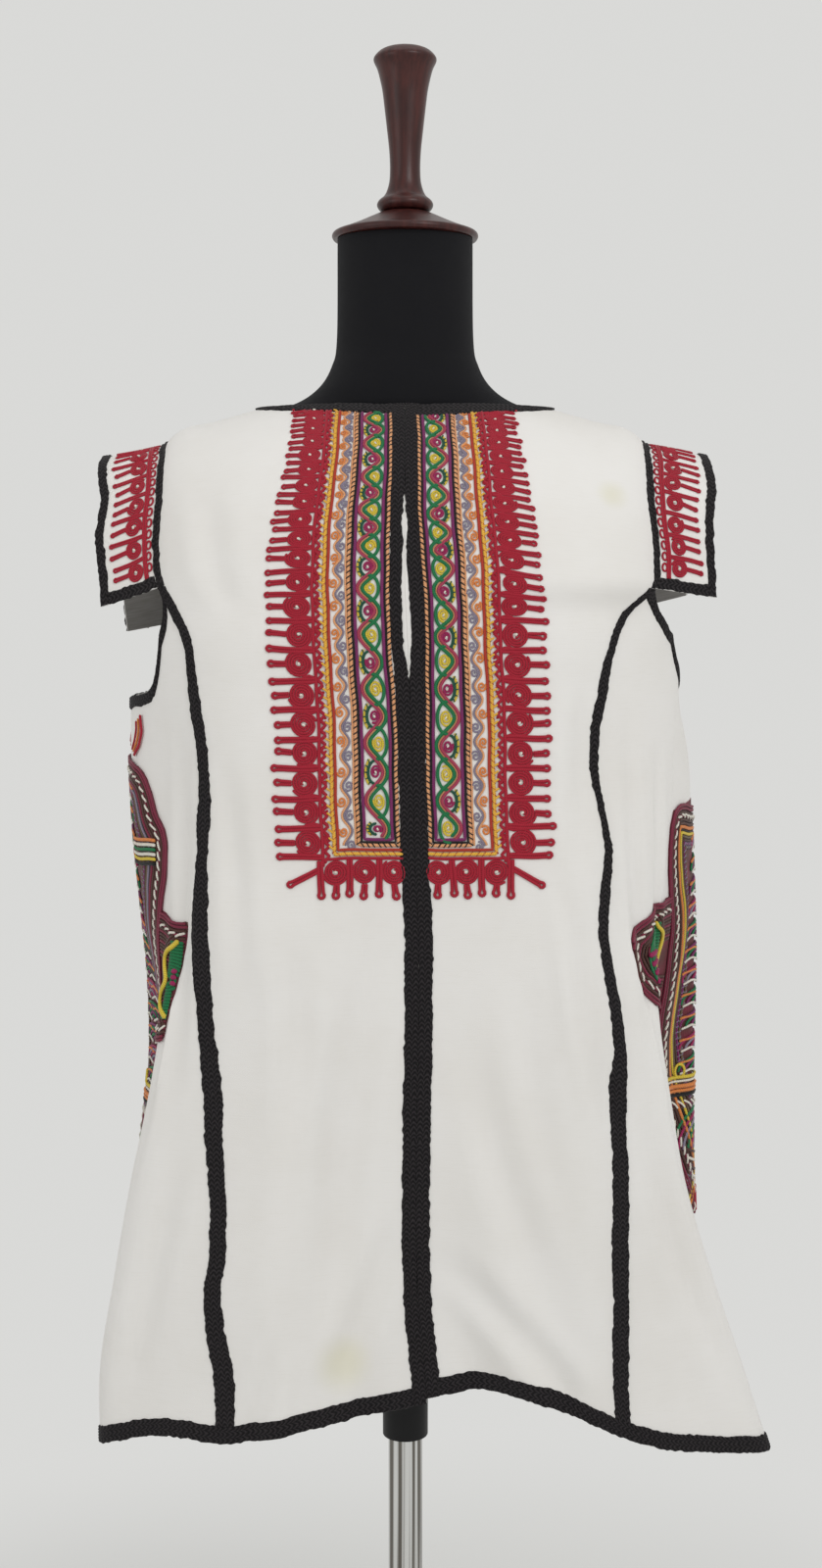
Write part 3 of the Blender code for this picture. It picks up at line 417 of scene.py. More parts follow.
# The coat's shape, as in the construction: sections, shoulder ridge, hem, underarm edge and large folds
coatShape = {
    "chestZ": 1.210,
    "rollLength": 0.26,  # metres of cloth from the ridge to the chest line
    "cloth": 0.0020,
    "clear": 0.0003,
    "parting": 0.0002,  # half the gap between the front edges
    # z, sway, frontY, princessRight, princessLeft, princessY, crestRight, crestLeft, crestY,
    # valleyX, valleyY, sideRight, sideLeft, backShare
    "sections": [
        (0.530, 0.020, -0.153, 0.180, 0.146, -0.154, 0.303, 0.253, -0.104, 0.227, -0.054, 0.262, 0.244, 0.97),
        (0.600, 0.017, -0.152, 0.178, 0.149, -0.153, 0.280, 0.252, -0.107, 0.220, -0.056, 0.258, 0.239, 0.96),
        (0.680, 0.010, -0.151, 0.177, 0.156, -0.152, 0.253, 0.239, -0.110, 0.211, -0.058, 0.252, 0.234, 0.95),
        (0.760, 0.009, -0.149, 0.176, 0.152, -0.150, 0.229, 0.224, -0.113, 0.204, -0.061, 0.249, 0.229, 0.94),
        (0.840, 0.010, -0.147, 0.173, 0.155, -0.146, 0.214, 0.206, -0.116, 0.200, -0.066, 0.248, 0.220, 0.93),
        (0.905, 0.011, -0.145, 0.170, 0.160, -0.142, 0.202, 0.193, -0.118, 0.200, -0.073, 0.248, 0.220, 0.92),
        (0.965, 0.011, -0.143, 0.160, 0.163, -0.138, 0.190, 0.184, -0.116, 0.205, -0.083, 0.247, 0.223, 0.91),
        (1.035, 0.008, -0.142, 0.163, 0.162, -0.131, 0.195, 0.186, -0.107, 0.218, -0.070, 0.245, 0.227, 0.90),
        (1.110, 0.006, -0.141, 0.152, 0.162, -0.129, 0.194, 0.190, -0.101, 0.222, -0.063, 0.241, 0.232, 0.90),
        (1.165, 0.004, -0.14, 0.158, 0.168, -0.125, 0.199, 0.199, -0.095, 0.224, -0.059, 0.2285, 0.23, 0.91),
        (1.21, 0.002, -0.14, 0.17, 0.176, -0.118, 0.206, 0.206, -0.088, 0.224, -0.056, 0.2265, 0.229, 0.93),
        (1.23, 0.001, -0.14, 0.182, 0.186, -0.108, 0.21, 0.21, -0.082, 0.225, -0.054, 0.2275, 0.23, 0.93),
        (1.25, 0.0, -0.14, 0.202, 0.197, -0.098, 0.214, 0.214, -0.076, 0.226, -0.052, 0.2295, 0.231, 0.93),
        (1.262, 0.0, -0.14, 0.2035, 0.2, -0.095, 0.215, 0.215, -0.074, 0.2265, -0.0515, 0.231, 0.2315, 0.93),
        (1.32, 0.0, -0.14, 0.2005, 0.2005, -0.094, 0.216, 0.216, -0.074, 0.228, -0.05, 0.233, 0.233, 0.93),
        (1.42, 0.0, -0.14, 0.2045, 0.2045, -0.09, 0.218, 0.218, -0.072, 0.23, -0.048, 0.235, 0.235, 0.93),
    ],
    # x, height of the ridge in front and behind
    "ridge": [
        (0.000, 1.4134, 1.4300), (0.060, 1.4100, 1.4200), (0.115, 1.4000, 1.4000), (0.165, 1.3865, 1.3865),
        (0.186, 1.3820, 1.3820), (0.197, 1.3750, 1.3750), (0.205, 1.3640, 1.3640), (0.240, 1.3400, 1.3400),
    ],
    # u, height of the hem on the right and left
    "hem": [
        (0.00, 0.593, 0.589), (0.25, 0.600, 0.580), (0.45, 0.597, 0.573), (0.68, 0.586, 0.566),
        (1.00, 0.560, 0.556), (1.40, 0.541, 0.556), (1.70, 0.534, 0.546), (2.00, 0.531, 0.536),
        (3.00, 0.545, 0.545), (4.00, 0.545, 0.545), (5.00, 0.550, 0.550), (6.00, 0.540, 0.542),
        (7.00, 0.560, 0.558), (8.00, 0.575, 0.575),
    ],
    # u, v of the top edge of the side pieces on the right and left
    "underarm": [
        (1.0, 0.850, 0.850), (1.5, 0.882, 0.965), (2.0, 0.935, 1.045), (3.0, 1.033, 1.078),
        (4.0, 1.066, 1.080), (5.0, 1.060, 1.075), (6.0, 1.020, 1.030), (7.0, 0.950, 0.950),
    ],
    "armholeFront": 0.85,  # v at the foot of the sleeve
    "armholeBack": 0.95,
    "neckU": 0.57,
    "neckDropFront": 23,  # degrees down the roll
    "neckDropBack": 33,
    # half, u0, v0, u1, v1, width in u, height
    "folds": [
        (1, 0.12, 1.62, 0.62, 2.05, 0.13, 0.0060), (1, 0.10, 1.80, 0.30, 2.05, 0.10, -0.0050),
        (1, 0.78, 1.20, 0.80, 1.75, 0.11, 0.0040), (-1, 0.20, 1.30, 0.35, 1.95, 0.13, -0.0060),
        (-1, 0.62, 1.25, 0.72, 1.90, 0.12, 0.0050), (1, 1.45, 1.55, 1.50, 2.05, 0.20, -0.0060),
        (-1, 1.45, 1.60, 1.52, 2.05, 0.20, -0.0050), (1, 6.50, 1.55, 6.52, 2.05, 0.20, -0.0060),
        (-1, 6.50, 1.60, 6.50, 2.05, 0.20, -0.0050), (1, 7.30, 1.20, 7.40, 2.05, 0.12, -0.0060),
        (-1, 7.36, 1.30, 7.32, 2.05, 0.12, -0.0060), (1, 7.75, 1.35, 7.62, 2.05, 0.10, 0.0050),
        (-1, 7.70, 1.30, 7.66, 2.05, 0.11, 0.0050),
    ],
}


# A smooth curve through values at rising knots: cubic Hermite pieces, tangents weighed by the step lengths
def curveThrough(knots, values, at):
    knots = np.asarray(knots, float)
    values = np.asarray(values, float).reshape(len(knots), -1)
    steps = np.diff(knots)[:, None]
    slopes = np.diff(values, axis=0) / steps
    inside = (slopes[:-1] * steps[1:] + slopes[1:] * steps[:-1]) / (steps[1:] + steps[:-1])
    tangents = np.vstack([slopes[:1], inside, slopes[-1:]])
    at = np.clip(np.asarray(at, float), knots[0], knots[-1])
    piece = np.clip(np.searchsorted(knots, at, side="right") - 1, 0, len(knots) - 2)
    share = ((at - knots[piece]) / steps[piece, 0])[..., None]
    startTangent, endTangent = tangents[piece] * steps[piece], tangents[piece + 1] * steps[piece]
    return hermite(share, values[piece], values[piece + 1], startTangent, endTangent)


def hermite(share, start, end, startTangent, endTangent):
    square = share * share
    cube = square * share
    first = (2 * cube - 3 * square + 1) * start + (cube - 2 * square + share) * startTangent
    return first + (3 * square - 2 * cube) * end + (cube - square) * endTangent


# The nine turning points of the section at each z, in the half's own x, which grows outwards
def turningPoints(half, z):
    table = np.array(coatShape["sections"])
    row = np.moveaxis(curveThrough(table[:, 0], table, z), -1, 0)
    princess, crest, side = (row[3], row[6], row[11]) if half > 0 else (row[4], row[7], row[12])
    valley = row[9]
    x = [half * row[1], princess, crest, valley, side, valley, crest, princess, 0 * row[0]]
    front = [row[2], row[5], row[8], row[10], 0 * row[0]]
    y = front + [-row[13] * value for value in front[-2::-1]]
    return np.stack([np.stack(x, -1), np.stack(y, -1)], -1)


# x and y of the section at u: cubics through the turning points, spaced by their chords
def sectionPoint(half, u, z):
    points = turningPoints(half, z)
    chords = np.linalg.norm(np.diff(points, axis=-2), axis=-1)[..., None]
    slopes = np.diff(points, axis=-2) / chords
    before, after = chords[..., :-1, :], chords[..., 1:, :]
    middle = (slopes[..., :-1, :] * after + slopes[..., 1:, :] * before) / (after + before)
    level = np.zeros_like(slopes[..., :1, :])
    level[..., 0] = 1.0
    tangents = np.concatenate([level, middle, -level], axis=-2)
    piece = np.clip(np.floor(u).astype(int), 0, 7)

    def pick(values, index):
        return np.take_along_axis(values, index[..., None, None], axis=-2)[..., 0, :]

    span = pick(chords, piece)
    startTangent, endTangent = pick(tangents, piece) * span, pick(tangents, piece + 1) * span
    start, end = pick(points, piece), pick(points, piece + 1)
    return hermite((u - piece)[..., None], start, end, startTangent, endTangent)


# The coat's inner face without folds: below the chest line straight down the sections, above it a quarter
# ellipse that rolls back to the ridge, whose height depends on x
def smoothPoint(half, u, v):
    hem = np.array(coatShape["hem"])
    hemZ = curveThrough(hem[:, 0], hem[:, 1 if half > 0 else 2], u)[..., 0]
    ridge = np.array(coatShape["ridge"])
    roll = np.clip(v, 0.0, 1.0) * math.pi / 2
    z = coatShape["chestZ"] - (v - 1) * (coatShape["chestZ"] - hemZ)
    for _ in range(5):
        x = sectionPoint(half, u, z)[..., 0]
        heights = curveThrough(ridge[:, 0], ridge[:, 1:], np.abs(x))
        rise = np.where(u > 4, heights[..., 1], heights[..., 0]) - coatShape["chestZ"]
        z = np.where(v < 1, coatShape["chestZ"] + rise * np.cos(roll), z)
    flat = sectionPoint(half, u, z)
    return np.stack([half * flat[..., 0], flat[..., 1] * np.sin(roll), z], -1)


# How far round (in metres) u lies from the front edge at v, and how far down: the cloth's own flat measure
def flatPlace(half, u, v):
    hem = np.array(coatShape["hem"])
    hemZ = curveThrough(hem[:, 0], hem[:, 1 if half > 0 else 2], u)[..., 0]
    z = coatShape["chestZ"] - np.clip(v - 1, 0, None) * (coatShape["chestZ"] - hemZ)
    chords = np.linalg.norm(np.diff(turningPoints(half, z), axis=-2), axis=-1)
    total = np.concatenate([np.zeros_like(chords[..., :1]), np.cumsum(chords, axis=-1)], -1)
    piece = np.clip(np.floor(u).astype(int), 0, 7)
    start = np.take_along_axis(total, piece[..., None], -1)[..., 0]
    chord = np.take_along_axis(chords, piece[..., None], -1)[..., 0]
    down = np.where(v < 1, (v - 1) * coatShape["rollLength"], (v - 1) * (coatShape["chestZ"] - hemZ))
    return np.stack([start + chord * (u - piece), down], -1)


# Creases laid one by one: half, u0, v0, u1, v1, half width and depth in metres, and how far the crease bows.
# creaseDepth deepens them all
creaseDepth = 2.4
creases = [
    # right front
    (1, 0.86, 1.36, 0.95, 1.62, 0.010, 0.0022, 0.004), (1, 0.72, 1.30, 0.80, 1.52, 0.008, 0.0012, -0.003),
    (1, 0.30, 1.55, 0.62, 1.85, 0.012, 0.0018, 0.006), (1, 0.16, 1.82, 0.78, 2.00, 0.011, 0.0020, -0.005),
    (1, 0.55, 1.42, 0.60, 1.75, 0.012, 0.0010, 0.004), (1, 0.88, 1.05, 0.84, 1.30, 0.008, 0.0012, 0.003),
    # left front
    (-1, 0.20, 1.38, 0.42, 1.90, 0.013, 0.0022, -0.006), (-1, 0.55, 1.38, 0.60, 1.62, 0.010, 0.0014, 0.004),
    (-1, 0.10, 1.75, 0.45, 1.96, 0.010, 0.0018, 0.005), (-1, 0.86, 1.15, 0.80, 1.45, 0.009, 0.0012, 0.004),
    (-1, 0.70, 1.88, 0.90, 2.02, 0.008, 0.0012, 0.002), (-1, 0.76, 0.55, 0.70, 0.95, 0.010, 0.0012, 0.004),
    # side pieces
    (1, 1.55, 1.10, 1.60, 1.55, 0.007, 0.0016, 0.003), (1, 2.30, 1.12, 2.25, 1.48, 0.006, 0.0014, -0.002),
    (1, 1.40, 1.55, 1.75, 1.95, 0.009, 0.0018, 0.004), (-1, 1.50, 1.12, 1.55, 1.60, 0.008, 0.0016, 0.003),
    (-1, 1.35, 1.62, 1.70, 1.98, 0.009, 0.0018, 0.004), (1, 3.60, 1.30, 3.40, 1.80, 0.009, 0.0016, 0.003),
    (-1, 4.40, 1.28, 4.60, 1.85, 0.009, 0.0016, 0.003), (1, 5.60, 1.20, 5.75, 1.70, 0.008, 0.0016, 0.003),
    (-1, 5.70, 1.25, 5.60, 1.80, 0.008, 0.0016, -0.003), (1, 6.35, 1.45, 6.20, 1.95, 0.009, 0.0018, 0.003),
    (-1, 6.40, 1.40, 6.30, 1.90, 0.009, 0.0018, -0.004),
    # back
    (1, 7.18, 1.25, 7.30, 1.75, 0.011, 0.0020, 0.005), (1, 7.62, 1.40, 7.52, 1.95, 0.013, 0.0020, -0.006),
    (1, 7.86, 1.60, 7.92, 2.00, 0.010, 0.0016, 0.004), (-1, 7.22, 1.30, 7.20, 1.85, 0.011, 0.0020, 0.005),
    (-1, 7.55, 1.36, 7.48, 1.80, 0.012, 0.0020, 0.005), (-1, 7.80, 1.55, 7.90, 1.98, 0.010, 0.0016, -0.004),
    (1, 7.30, 0.45, 7.42, 0.92, 0.012, 0.0014, 0.004), (-1, 7.34, 0.50, 7.45, 0.95, 0.011, 0.0014, -0.004),
]


# Where the front laps over the side motif: v and u along the line, its height, its steepness and its reach
lapFold = {
    "v": (1.30, 1.37, 1.46, 1.74),
    "u": (1.58, 1.64, 1.84, 1.86),
    "height": 0.0034,
    "step": 0.05,
    "reach": 0.30,
}


def lapLine(v):
    return np.interp(v, lapFold["v"], lapFold["u"])


# How far folds and creases push the cloth out: a bell across each large fold, faded at its upper end; for the
# lap a short step that falls away slowly towards the front; and for each crease a trough with a soft shoulder
# on both sides, faded at both ends
def reliefAt(half, u, v):
    total = np.zeros(np.broadcast(u, v).shape)
    for side, u0, v0, u1, v1, width, height in coatShape["folds"]:
        if side == half:
            along = np.clip((v - v0) / (v1 - v0), 0.0, 1.0)
            across = (u - u0 - (u1 - u0) * along) / width
            total += height * along * (2 - along) * np.exp(-across * across)
    past = lapLine(v) - u
    rising = np.clip(past / lapFold["step"], 0, 1)
    middle = np.clip((v - lapFold["v"][0]) / (lapFold["v"][-1] - lapFold["v"][0]), 0, 1)
    fading = np.exp(-np.clip(past, 0, None) / lapFold["reach"]) * np.sin(math.pi * middle) ** 0.6
    total += lapFold["height"] * rising * rising * (3 - 2 * rising) * fading
    here = flatPlace(half, u, v)
    for side, u0, v0, u1, v1, width, depth, bow in creases:
        if side != half:
            continue
        start, end = (flatPlace(half, np.array(a), np.array(b)) for a, b in ((u0, v0), (u1, v1)))
        length = np.linalg.norm(end - start)
        onward = (end - start) / length
        offset = here - start
        share = np.clip((offset @ onward) / length, 0.0, 1.0)
        beside = offset @ np.array([-onward[1], onward[0]]) - bow * np.sin(math.pi * share)
        ahead = (offset @ onward) - share * length
        far = (beside / width) ** 2
        profile = np.exp(-far) - 0.55 * np.exp(-((np.abs(beside) / width - 1.9) ** 2) * 1.2)
        ends = np.sin(math.pi * np.clip(share, 0.02, 0.98)) ** 0.8 * np.exp(-((ahead / width) ** 2))
        total -= creaseDepth * depth * profile * ends
    return total


def outwardAt(half, u, v):
    step = 1e-4
    down = smoothPoint(half, u, v + step) - smoothPoint(half, u, np.maximum(v - step, 0.0))
    around = smoothPoint(half, u + step, v) - smoothPoint(half, np.maximum(u - step, 0.0), v)
    normal = half * np.cross(down, around)
    return normal / np.linalg.norm(normal, axis=-1, keepdims=True)


# Points on the coat, lifted off its inner face, and the outward directions there
def coatPoint(half, u, v, lift):
    u, v = np.broadcast_arrays(np.asarray(u, float), np.asarray(v, float))
    outward = outwardAt(half, u, v)
    height = reliefAt(half, u, v) + lift
    return smoothPoint(half, u, v) + outward * height[..., None], outward


def metresPerU(half, u, v):
    return np.linalg.norm(smoothPoint(half, u + 1e-3, v) - smoothPoint(half, u, v), axis=-1) / 1e-3


def metresPerV(half, u, v):
    return np.linalg.norm(smoothPoint(half, u, v + 1e-3) - smoothPoint(half, u, v), axis=-1) / 1e-3


# v after a step of some metres down the cloth (or up, below zero); v counts differently above and below the
# chest line, so a step over it is taken in two parts
def stepDown(half, u, v, metres):
    moved = v + metres / metresPerV(half, u, np.maximum(v + np.where(metres < 0, -0.004, 0.004), 0.004))
    over = (moved - 1) * (v - 1) < 0
    rest = metres - (1 - v) * metresPerV(half, u, np.where(v < 1, 0.97, 1.01))
    return np.where(over, 1 + rest / metresPerV(half, u, np.where(v < 1, 1.01, 0.97)), moved)


# v along the neckline, then the shoulder seam: a quarter round, cut down the roll
def necklineV(half, u, behind):
    drop = math.radians(coatShape["neckDropBack" if behind else "neckDropFront"])
    middle = np.minimum(u, 8 - u) / coatShape["neckU"]
    top = drop * np.sqrt(np.clip(1 - middle**2, 0, 1)) / (math.pi / 2)
    return np.maximum(top, coatShape["clear"] / 2 / metresPerV(half, u, np.full_like(u, 0.01)))


def underarmV(half, u):
    table = np.array(coatShape["underarm"])
    return curveThrough(table[:, 0], table[:, 1 if half > 0 else 2], u)[..., 0]


print("coat surface ready")


# Panels: first and last u, columns, rows above and below the chest line, and the flat cut it came from: its
# width and length, and its area on the right and left
panels = {
    "front": {
        "from": 0.0, "to": 1.0, "columns": 40, "rollRows": 52, "skirtRows": 124,
        "cut": (0.235, 0.910), "area": {right: 0.150, left: 0.159},
    },
    "gore_front": {
        "from": 1.0, "to": 3.0, "columns": 32, "rollRows": 0, "skirtRows": 132,
        "cut": (0.215, 0.720), "area": {right: 0.082, left: 0.076},
    },
    "gusset": {
        "from": 3.0, "to": 5.0, "columns": 28, "rollRows": 0, "skirtRows": 124,
        "cut": (0.185, 0.650), "area": {right: 0.094, left: 0.082},
    },
    "gore_back": {
        "from": 5.0, "to": 7.0, "columns": 32, "rollRows": 0, "skirtRows": 132,
        "cut": (0.210, 0.690), "area": {right: 0.077, left: 0.074},
    },
    "back": {
        "from": 7.0, "to": 8.0, "columns": 34, "rollRows": 44, "skirtRows": 112,
        "cut": (0.480, 0.905), "area": 0.305,
    },
}


# u and v of a panel's points: columns between its seams, half a clearance in, and rows from its top edge to
# the hem, spread so that they are about as far apart above the chest line as below it
def panelGrid(half, name):
    settings = panels[name]
    u0, u1 = settings["from"], settings["to"]
    columns = np.linspace(u0, u1, settings["columns"])
    if name in ("front", "back"):
        top = necklineV(half, columns, name == "back")
        roll = np.linspace(0, 1, settings["rollRows"] + 1)[:-1, None]
        upper = top + (1 - top) * roll
        v = np.concatenate([upper, 1 + np.linspace(0, 1, settings["skirtRows"])[:, None] + 0 * columns])
    else:
        top = underarmV(half, columns)
        v = top + (2 - top) * np.linspace(0, 1, settings["skirtRows"])[:, None]
    u = np.broadcast_to(columns, v.shape).copy()
    hair = coatShape["clear"] / 2
    firstGap = coatShape["parting"] if name == "front" else hair
    u[:, 0] += firstGap / metresPerU(half, u[:, 0], v[:, 0])
    if name != "back":
        u[:, -1] -= hair / metresPerU(half, u[:, -1] - 0.01, v[:, -1])
    return u, v


def makePanel(half, name):
    u, v = panelGrid(half, name)
    inner, outward = coatPoint(half, u, v, 0.0)
    outer = inner + outward * coatShape["cloth"]
    node = f"{name}_{sideWord[half]}"
    mesh = wallMesh(f"{node}_cloth", inner, outer, flatPlace(half, u, v))
    item = addPiece(f"{node}_cloth", mesh, "white_cotton", instead=[node], sharp=50)


# The back is one piece: both halves side by side, sharing the centre column
def makeBackPanel():
    inner, outer, flat = [], [], []
    for half in (right, left):
        u, v = panelGrid(half, "back")
        points, outward = coatPoint(half, u, v, 0.0)
        place = flatPlace(half, u, v)
        place[..., 0] = half * (place[..., 0] - place[:, -1:, 0])
        inner.append(points)
        outer.append(points + outward * coatShape["cloth"])
        flat.append(place)
    whole = [np.concatenate([part[0], part[1][:, -2::-1]], axis=1) for part in (inner, outer, flat)]
    item = addPiece("back_cloth", wallMesh("back_cloth", *whole), "white_cotton", instead=["back"], sharp=50)


# Sleeve bands: from the armhole out to an arch of their own, open under the arm
sleeveShape = {
    "outX": 0.2575,
    "lean": {right: 0.0060, left: 0.0085},  # how far the outer edge leans in at the foot
    "topZ": 1.3580,
    "outY": 0.078,
    "sweep": 80,  # degrees of the arch, each way from the top
    "footFront": {right: 1.2400, left: 1.2325},
    "footBack": {right: 1.2430, left: 1.2110},
    "width": 0.0605,
    "reach": 0.17,  # metres of the band each way from its top
    # along, and how far the outer edge waves out there, in millimetres
    "edgeWave": {
        right: [
            (-1.00, 3.5), (-0.93, 2.6), (-0.84, 0.2), (-0.60, 0.0), (-0.46, 1.5), (-0.34, 1.3), (-0.18, -0.4),
            (0.00, -1.2), (0.30, 1.0), (0.55, -1.5), (0.80, 1.2), (1.00, 0.0),
        ],
        left: [
            (-1.00, -0.9), (-0.90, -0.6), (-0.80, 1.4), (-0.70, 1.3), (-0.60, -2.0), (-0.50, -3.4),
            (-0.40, -1.2), (-0.25, 0.5), (-0.10, -0.5), (0.20, 0.8), (0.50, -1.6), (0.80, 1.4), (1.00, 0.0),
        ],
    },
    "rows": 110,
    "columns": 18,
    "cut": (0.075, 0.36),
    "area": 0.0202,
}


# A point of the band: along runs from -1 at the front foot to 1 at the back one, across from 0 at the armhole
# to 1 at the outer edge; straight lines across join the armhole's curve to the arch
def sleevePoint(half, across, along):
    shape = sleeveShape
    inFront = along < 0
    v = np.abs(along) * np.where(inFront, coatShape["armholeFront"], coatShape["armholeBack"])
    inner = smoothPoint(half, np.where(inFront, 1.0, 7.0), v)
    inner[..., 0] += half * coatShape["clear"]
    sweep = math.radians(shape["sweep"])
    foot = np.where(inFront, shape["footFront"][half], shape["footBack"][half])
    drop = (shape["topZ"] - foot) * (1 - np.cos(np.abs(along) * sweep)) / (1 - math.cos(sweep))
    waves = np.array(shape["edgeWave"][half])
    wave = curveThrough(waves[:, 0], waves[:, 1], along)[..., 0] / 1000
    outX = half * (shape["outX"] - shape["lean"][half] * along**2 + wave)
    outY = np.sign(along) * shape["outY"] * np.sin(np.abs(along) * sweep)
    outer = np.stack([outX, outY, shape["topZ"] - drop], -1)
    return inner + (outer - inner) * across[..., None]


def sleevePlace(half, across, along, lift):
    across, along = np.broadcast_arrays(np.asarray(across, float), np.asarray(along, float))
    step = 1e-3
    out = sleevePoint(half, across + step, along) - sleevePoint(half, across - step, along)
    onward = sleevePoint(half, across, along + step) - sleevePoint(half, across, along - step)
    outward = half * np.cross(out, onward)
    outward /= np.linalg.norm(outward, axis=-1, keepdims=True)
    # the band buckles a little, more in front than on top
    wave = np.sin(along * 7.3 + half) * 0.0006 + np.sin(along * 15.1 + across * 2.0 + 2 * half) * 0.0004
    lip = across**2 * np.sin(along * 9.0 + half * 1.3) * 0.0006
    wave = wave * np.sin(math.pi * np.clip(across, 0, 1)) + lip
    return sleevePoint(half, across, along) + outward * (wave + lift)[..., None], outward


def makeSleeve(half):
    shape = sleeveShape
    steps, columns = np.linspace(-1, 1, shape["rows"]), np.linspace(0, 1, shape["columns"])
    along, across = np.meshgrid(steps, columns, indexing="ij")
    inner, outward = sleevePlace(half, across, along, np.zeros_like(along))
    flat = np.stack([across * shape["width"], along * shape["reach"]], -1)
    name = f"sleeve_{sideWord[half]}"
    mesh = wallMesh(f"{name}_cloth", inner, inner + outward * coatShape["cloth"], flat)
    # painted shade: the inner face is painted darker inside the band, from just behind the top to the back
    # foot, deepening backwards
    paintedInnerShade = mesh.attributes.new(name="paintedInnerShade", type="FLOAT", domain="POINT")
    dark = np.zeros(len(mesh.vertices), np.float32)
    dark[: along.size] = np.clip(along * 6 - 0.5, 0, 1).ravel()
    paintedInnerShade.data.foreach_set("value", dark)
    item = addPiece(f"{name}_cloth", mesh, "white_cotton", instead=[name], sharp=50)


# A path's own measure: distance from its start to each point
def alongPath(path):
    return np.concatenate([[0], np.cumsum(np.linalg.norm(np.diff(path, axis=0), axis=1))])


yokeHeight = 1.036  # metres from the floor to the yoke's lower corner

# Flat wool braid: widths, and its plait of ribs with slanted stitches
braidShape = {
    "thick": 0.0012,
    "row": 0.0016,  # metres between rows of points
    "stitch": 0.0036,
    "rib": 0.0026,  # wanted width of a rib
    "ribHeight": 0.00042,
    "stitchHeight": 0.00024,
    "fray": 0.00030,
    "sway": 0.0007,
    "edge": 0.0122,
    "meet": 0.0008,  # how far a front edge's braid reaches over it, towards the other one
    "overhang": 0.0004,  # the same for the other braids at edges of the cloth
    # the slit: metres above the yoke's lower corner, and millimetres that each front edge draws back
    "slit": [
        (0.126, 0.0), (0.138, 0.9), (0.150, 2.3), (0.165, 3.7), (0.183, 4.2), (0.205, 3.7),
        (0.225, 3.0), (0.246, 2.6), (0.262, 2.9), (0.272, 2.3), (0.282, 1.2), (0.294, 0.0),
    ],
    "slitMiddle": 0.188,
    "slitReach": 0.056,
    "parted": {right: 0.0039, left: 0.0015},  # how far the braid's outer edge moves out beside the slit
    "neck": 0.0090,
    "neckWider": {right: 0.0095, left: 0.0055},  # more at the middle of the front
    # front princess seam: share of the way down, millimetres off the seam, and width in millimetres
    "princess": {
        right: [
            (0.00, -2.0, 8.5), (0.05, -3.2, 8.2), (0.09, -1.2, 7.2), (0.14, -0.8, 9.0),
            (0.19, -2.3, 7.8), (0.24, -1.9, 6.8), (0.28, -1.5, 6.6), (0.33, -0.8, 7.8),
            (0.38, -1.8, 9.8), (0.47, -2.0, 10.0), (0.52, -2.2, 11.4), (0.57, -0.8, 12.9),
            (0.61, -2.6, 15.0), (0.66, -3.4, 14.4), (0.71, -3.4, 15.8), (0.77, -3.6, 16.0),
            (0.81, -4.0, 16.6), (0.86, -3.4, 14.6), (0.90, -3.4, 16.0), (0.95, -3.8, 14.6),
            (1.00, -3.0, 14.6),
        ],
        left: [
            (0.00, -0.5, 9.5), (0.05, -0.8, 11.2), (0.09, -0.4, 8.6), (0.15, 0.0, 11.2),
            (0.19, -1.2, 11.2), (0.25, -2.8, 11.0), (0.28, -3.2, 13.4), (0.33, -1.6, 10.2),
            (0.38, -0.8, 15.0), (0.46, -0.8, 17.2), (0.51, -1.2, 13.6), (0.57, -1.6, 16.0),
            (0.61, -1.6, 16.6), (0.66, -0.4, 15.2), (0.71, -1.6, 13.9), (0.76, -3.1, 14.0),
            (0.80, -4.6, 14.6), (0.84, -1.4, 14.4), (0.89, -1.2, 16.6), (0.95, -4.2, 17.4),
            (1.00, -2.0, 16.4),
        ],
    },
    "seamTop": 0.0095,
    "seamHem": 0.0155,
    "armhole": 0.0090,
    "sleeve": 0.0080,
    "hem": 0.0145,
}


# A slow wander: a few sines of unlike lengths with phases drawn from the seed
def wander(distance, seed, lengths=(0.021, 0.047, 0.093)):
    draw = np.random.default_rng(seed)
    total = np.zeros_like(distance)
    for length in lengths:
        total += np.sin(2 * math.pi * distance / (length * draw.uniform(0.85, 1.2)) + draw.uniform(0, 6.28))
    return total / len(lengths)


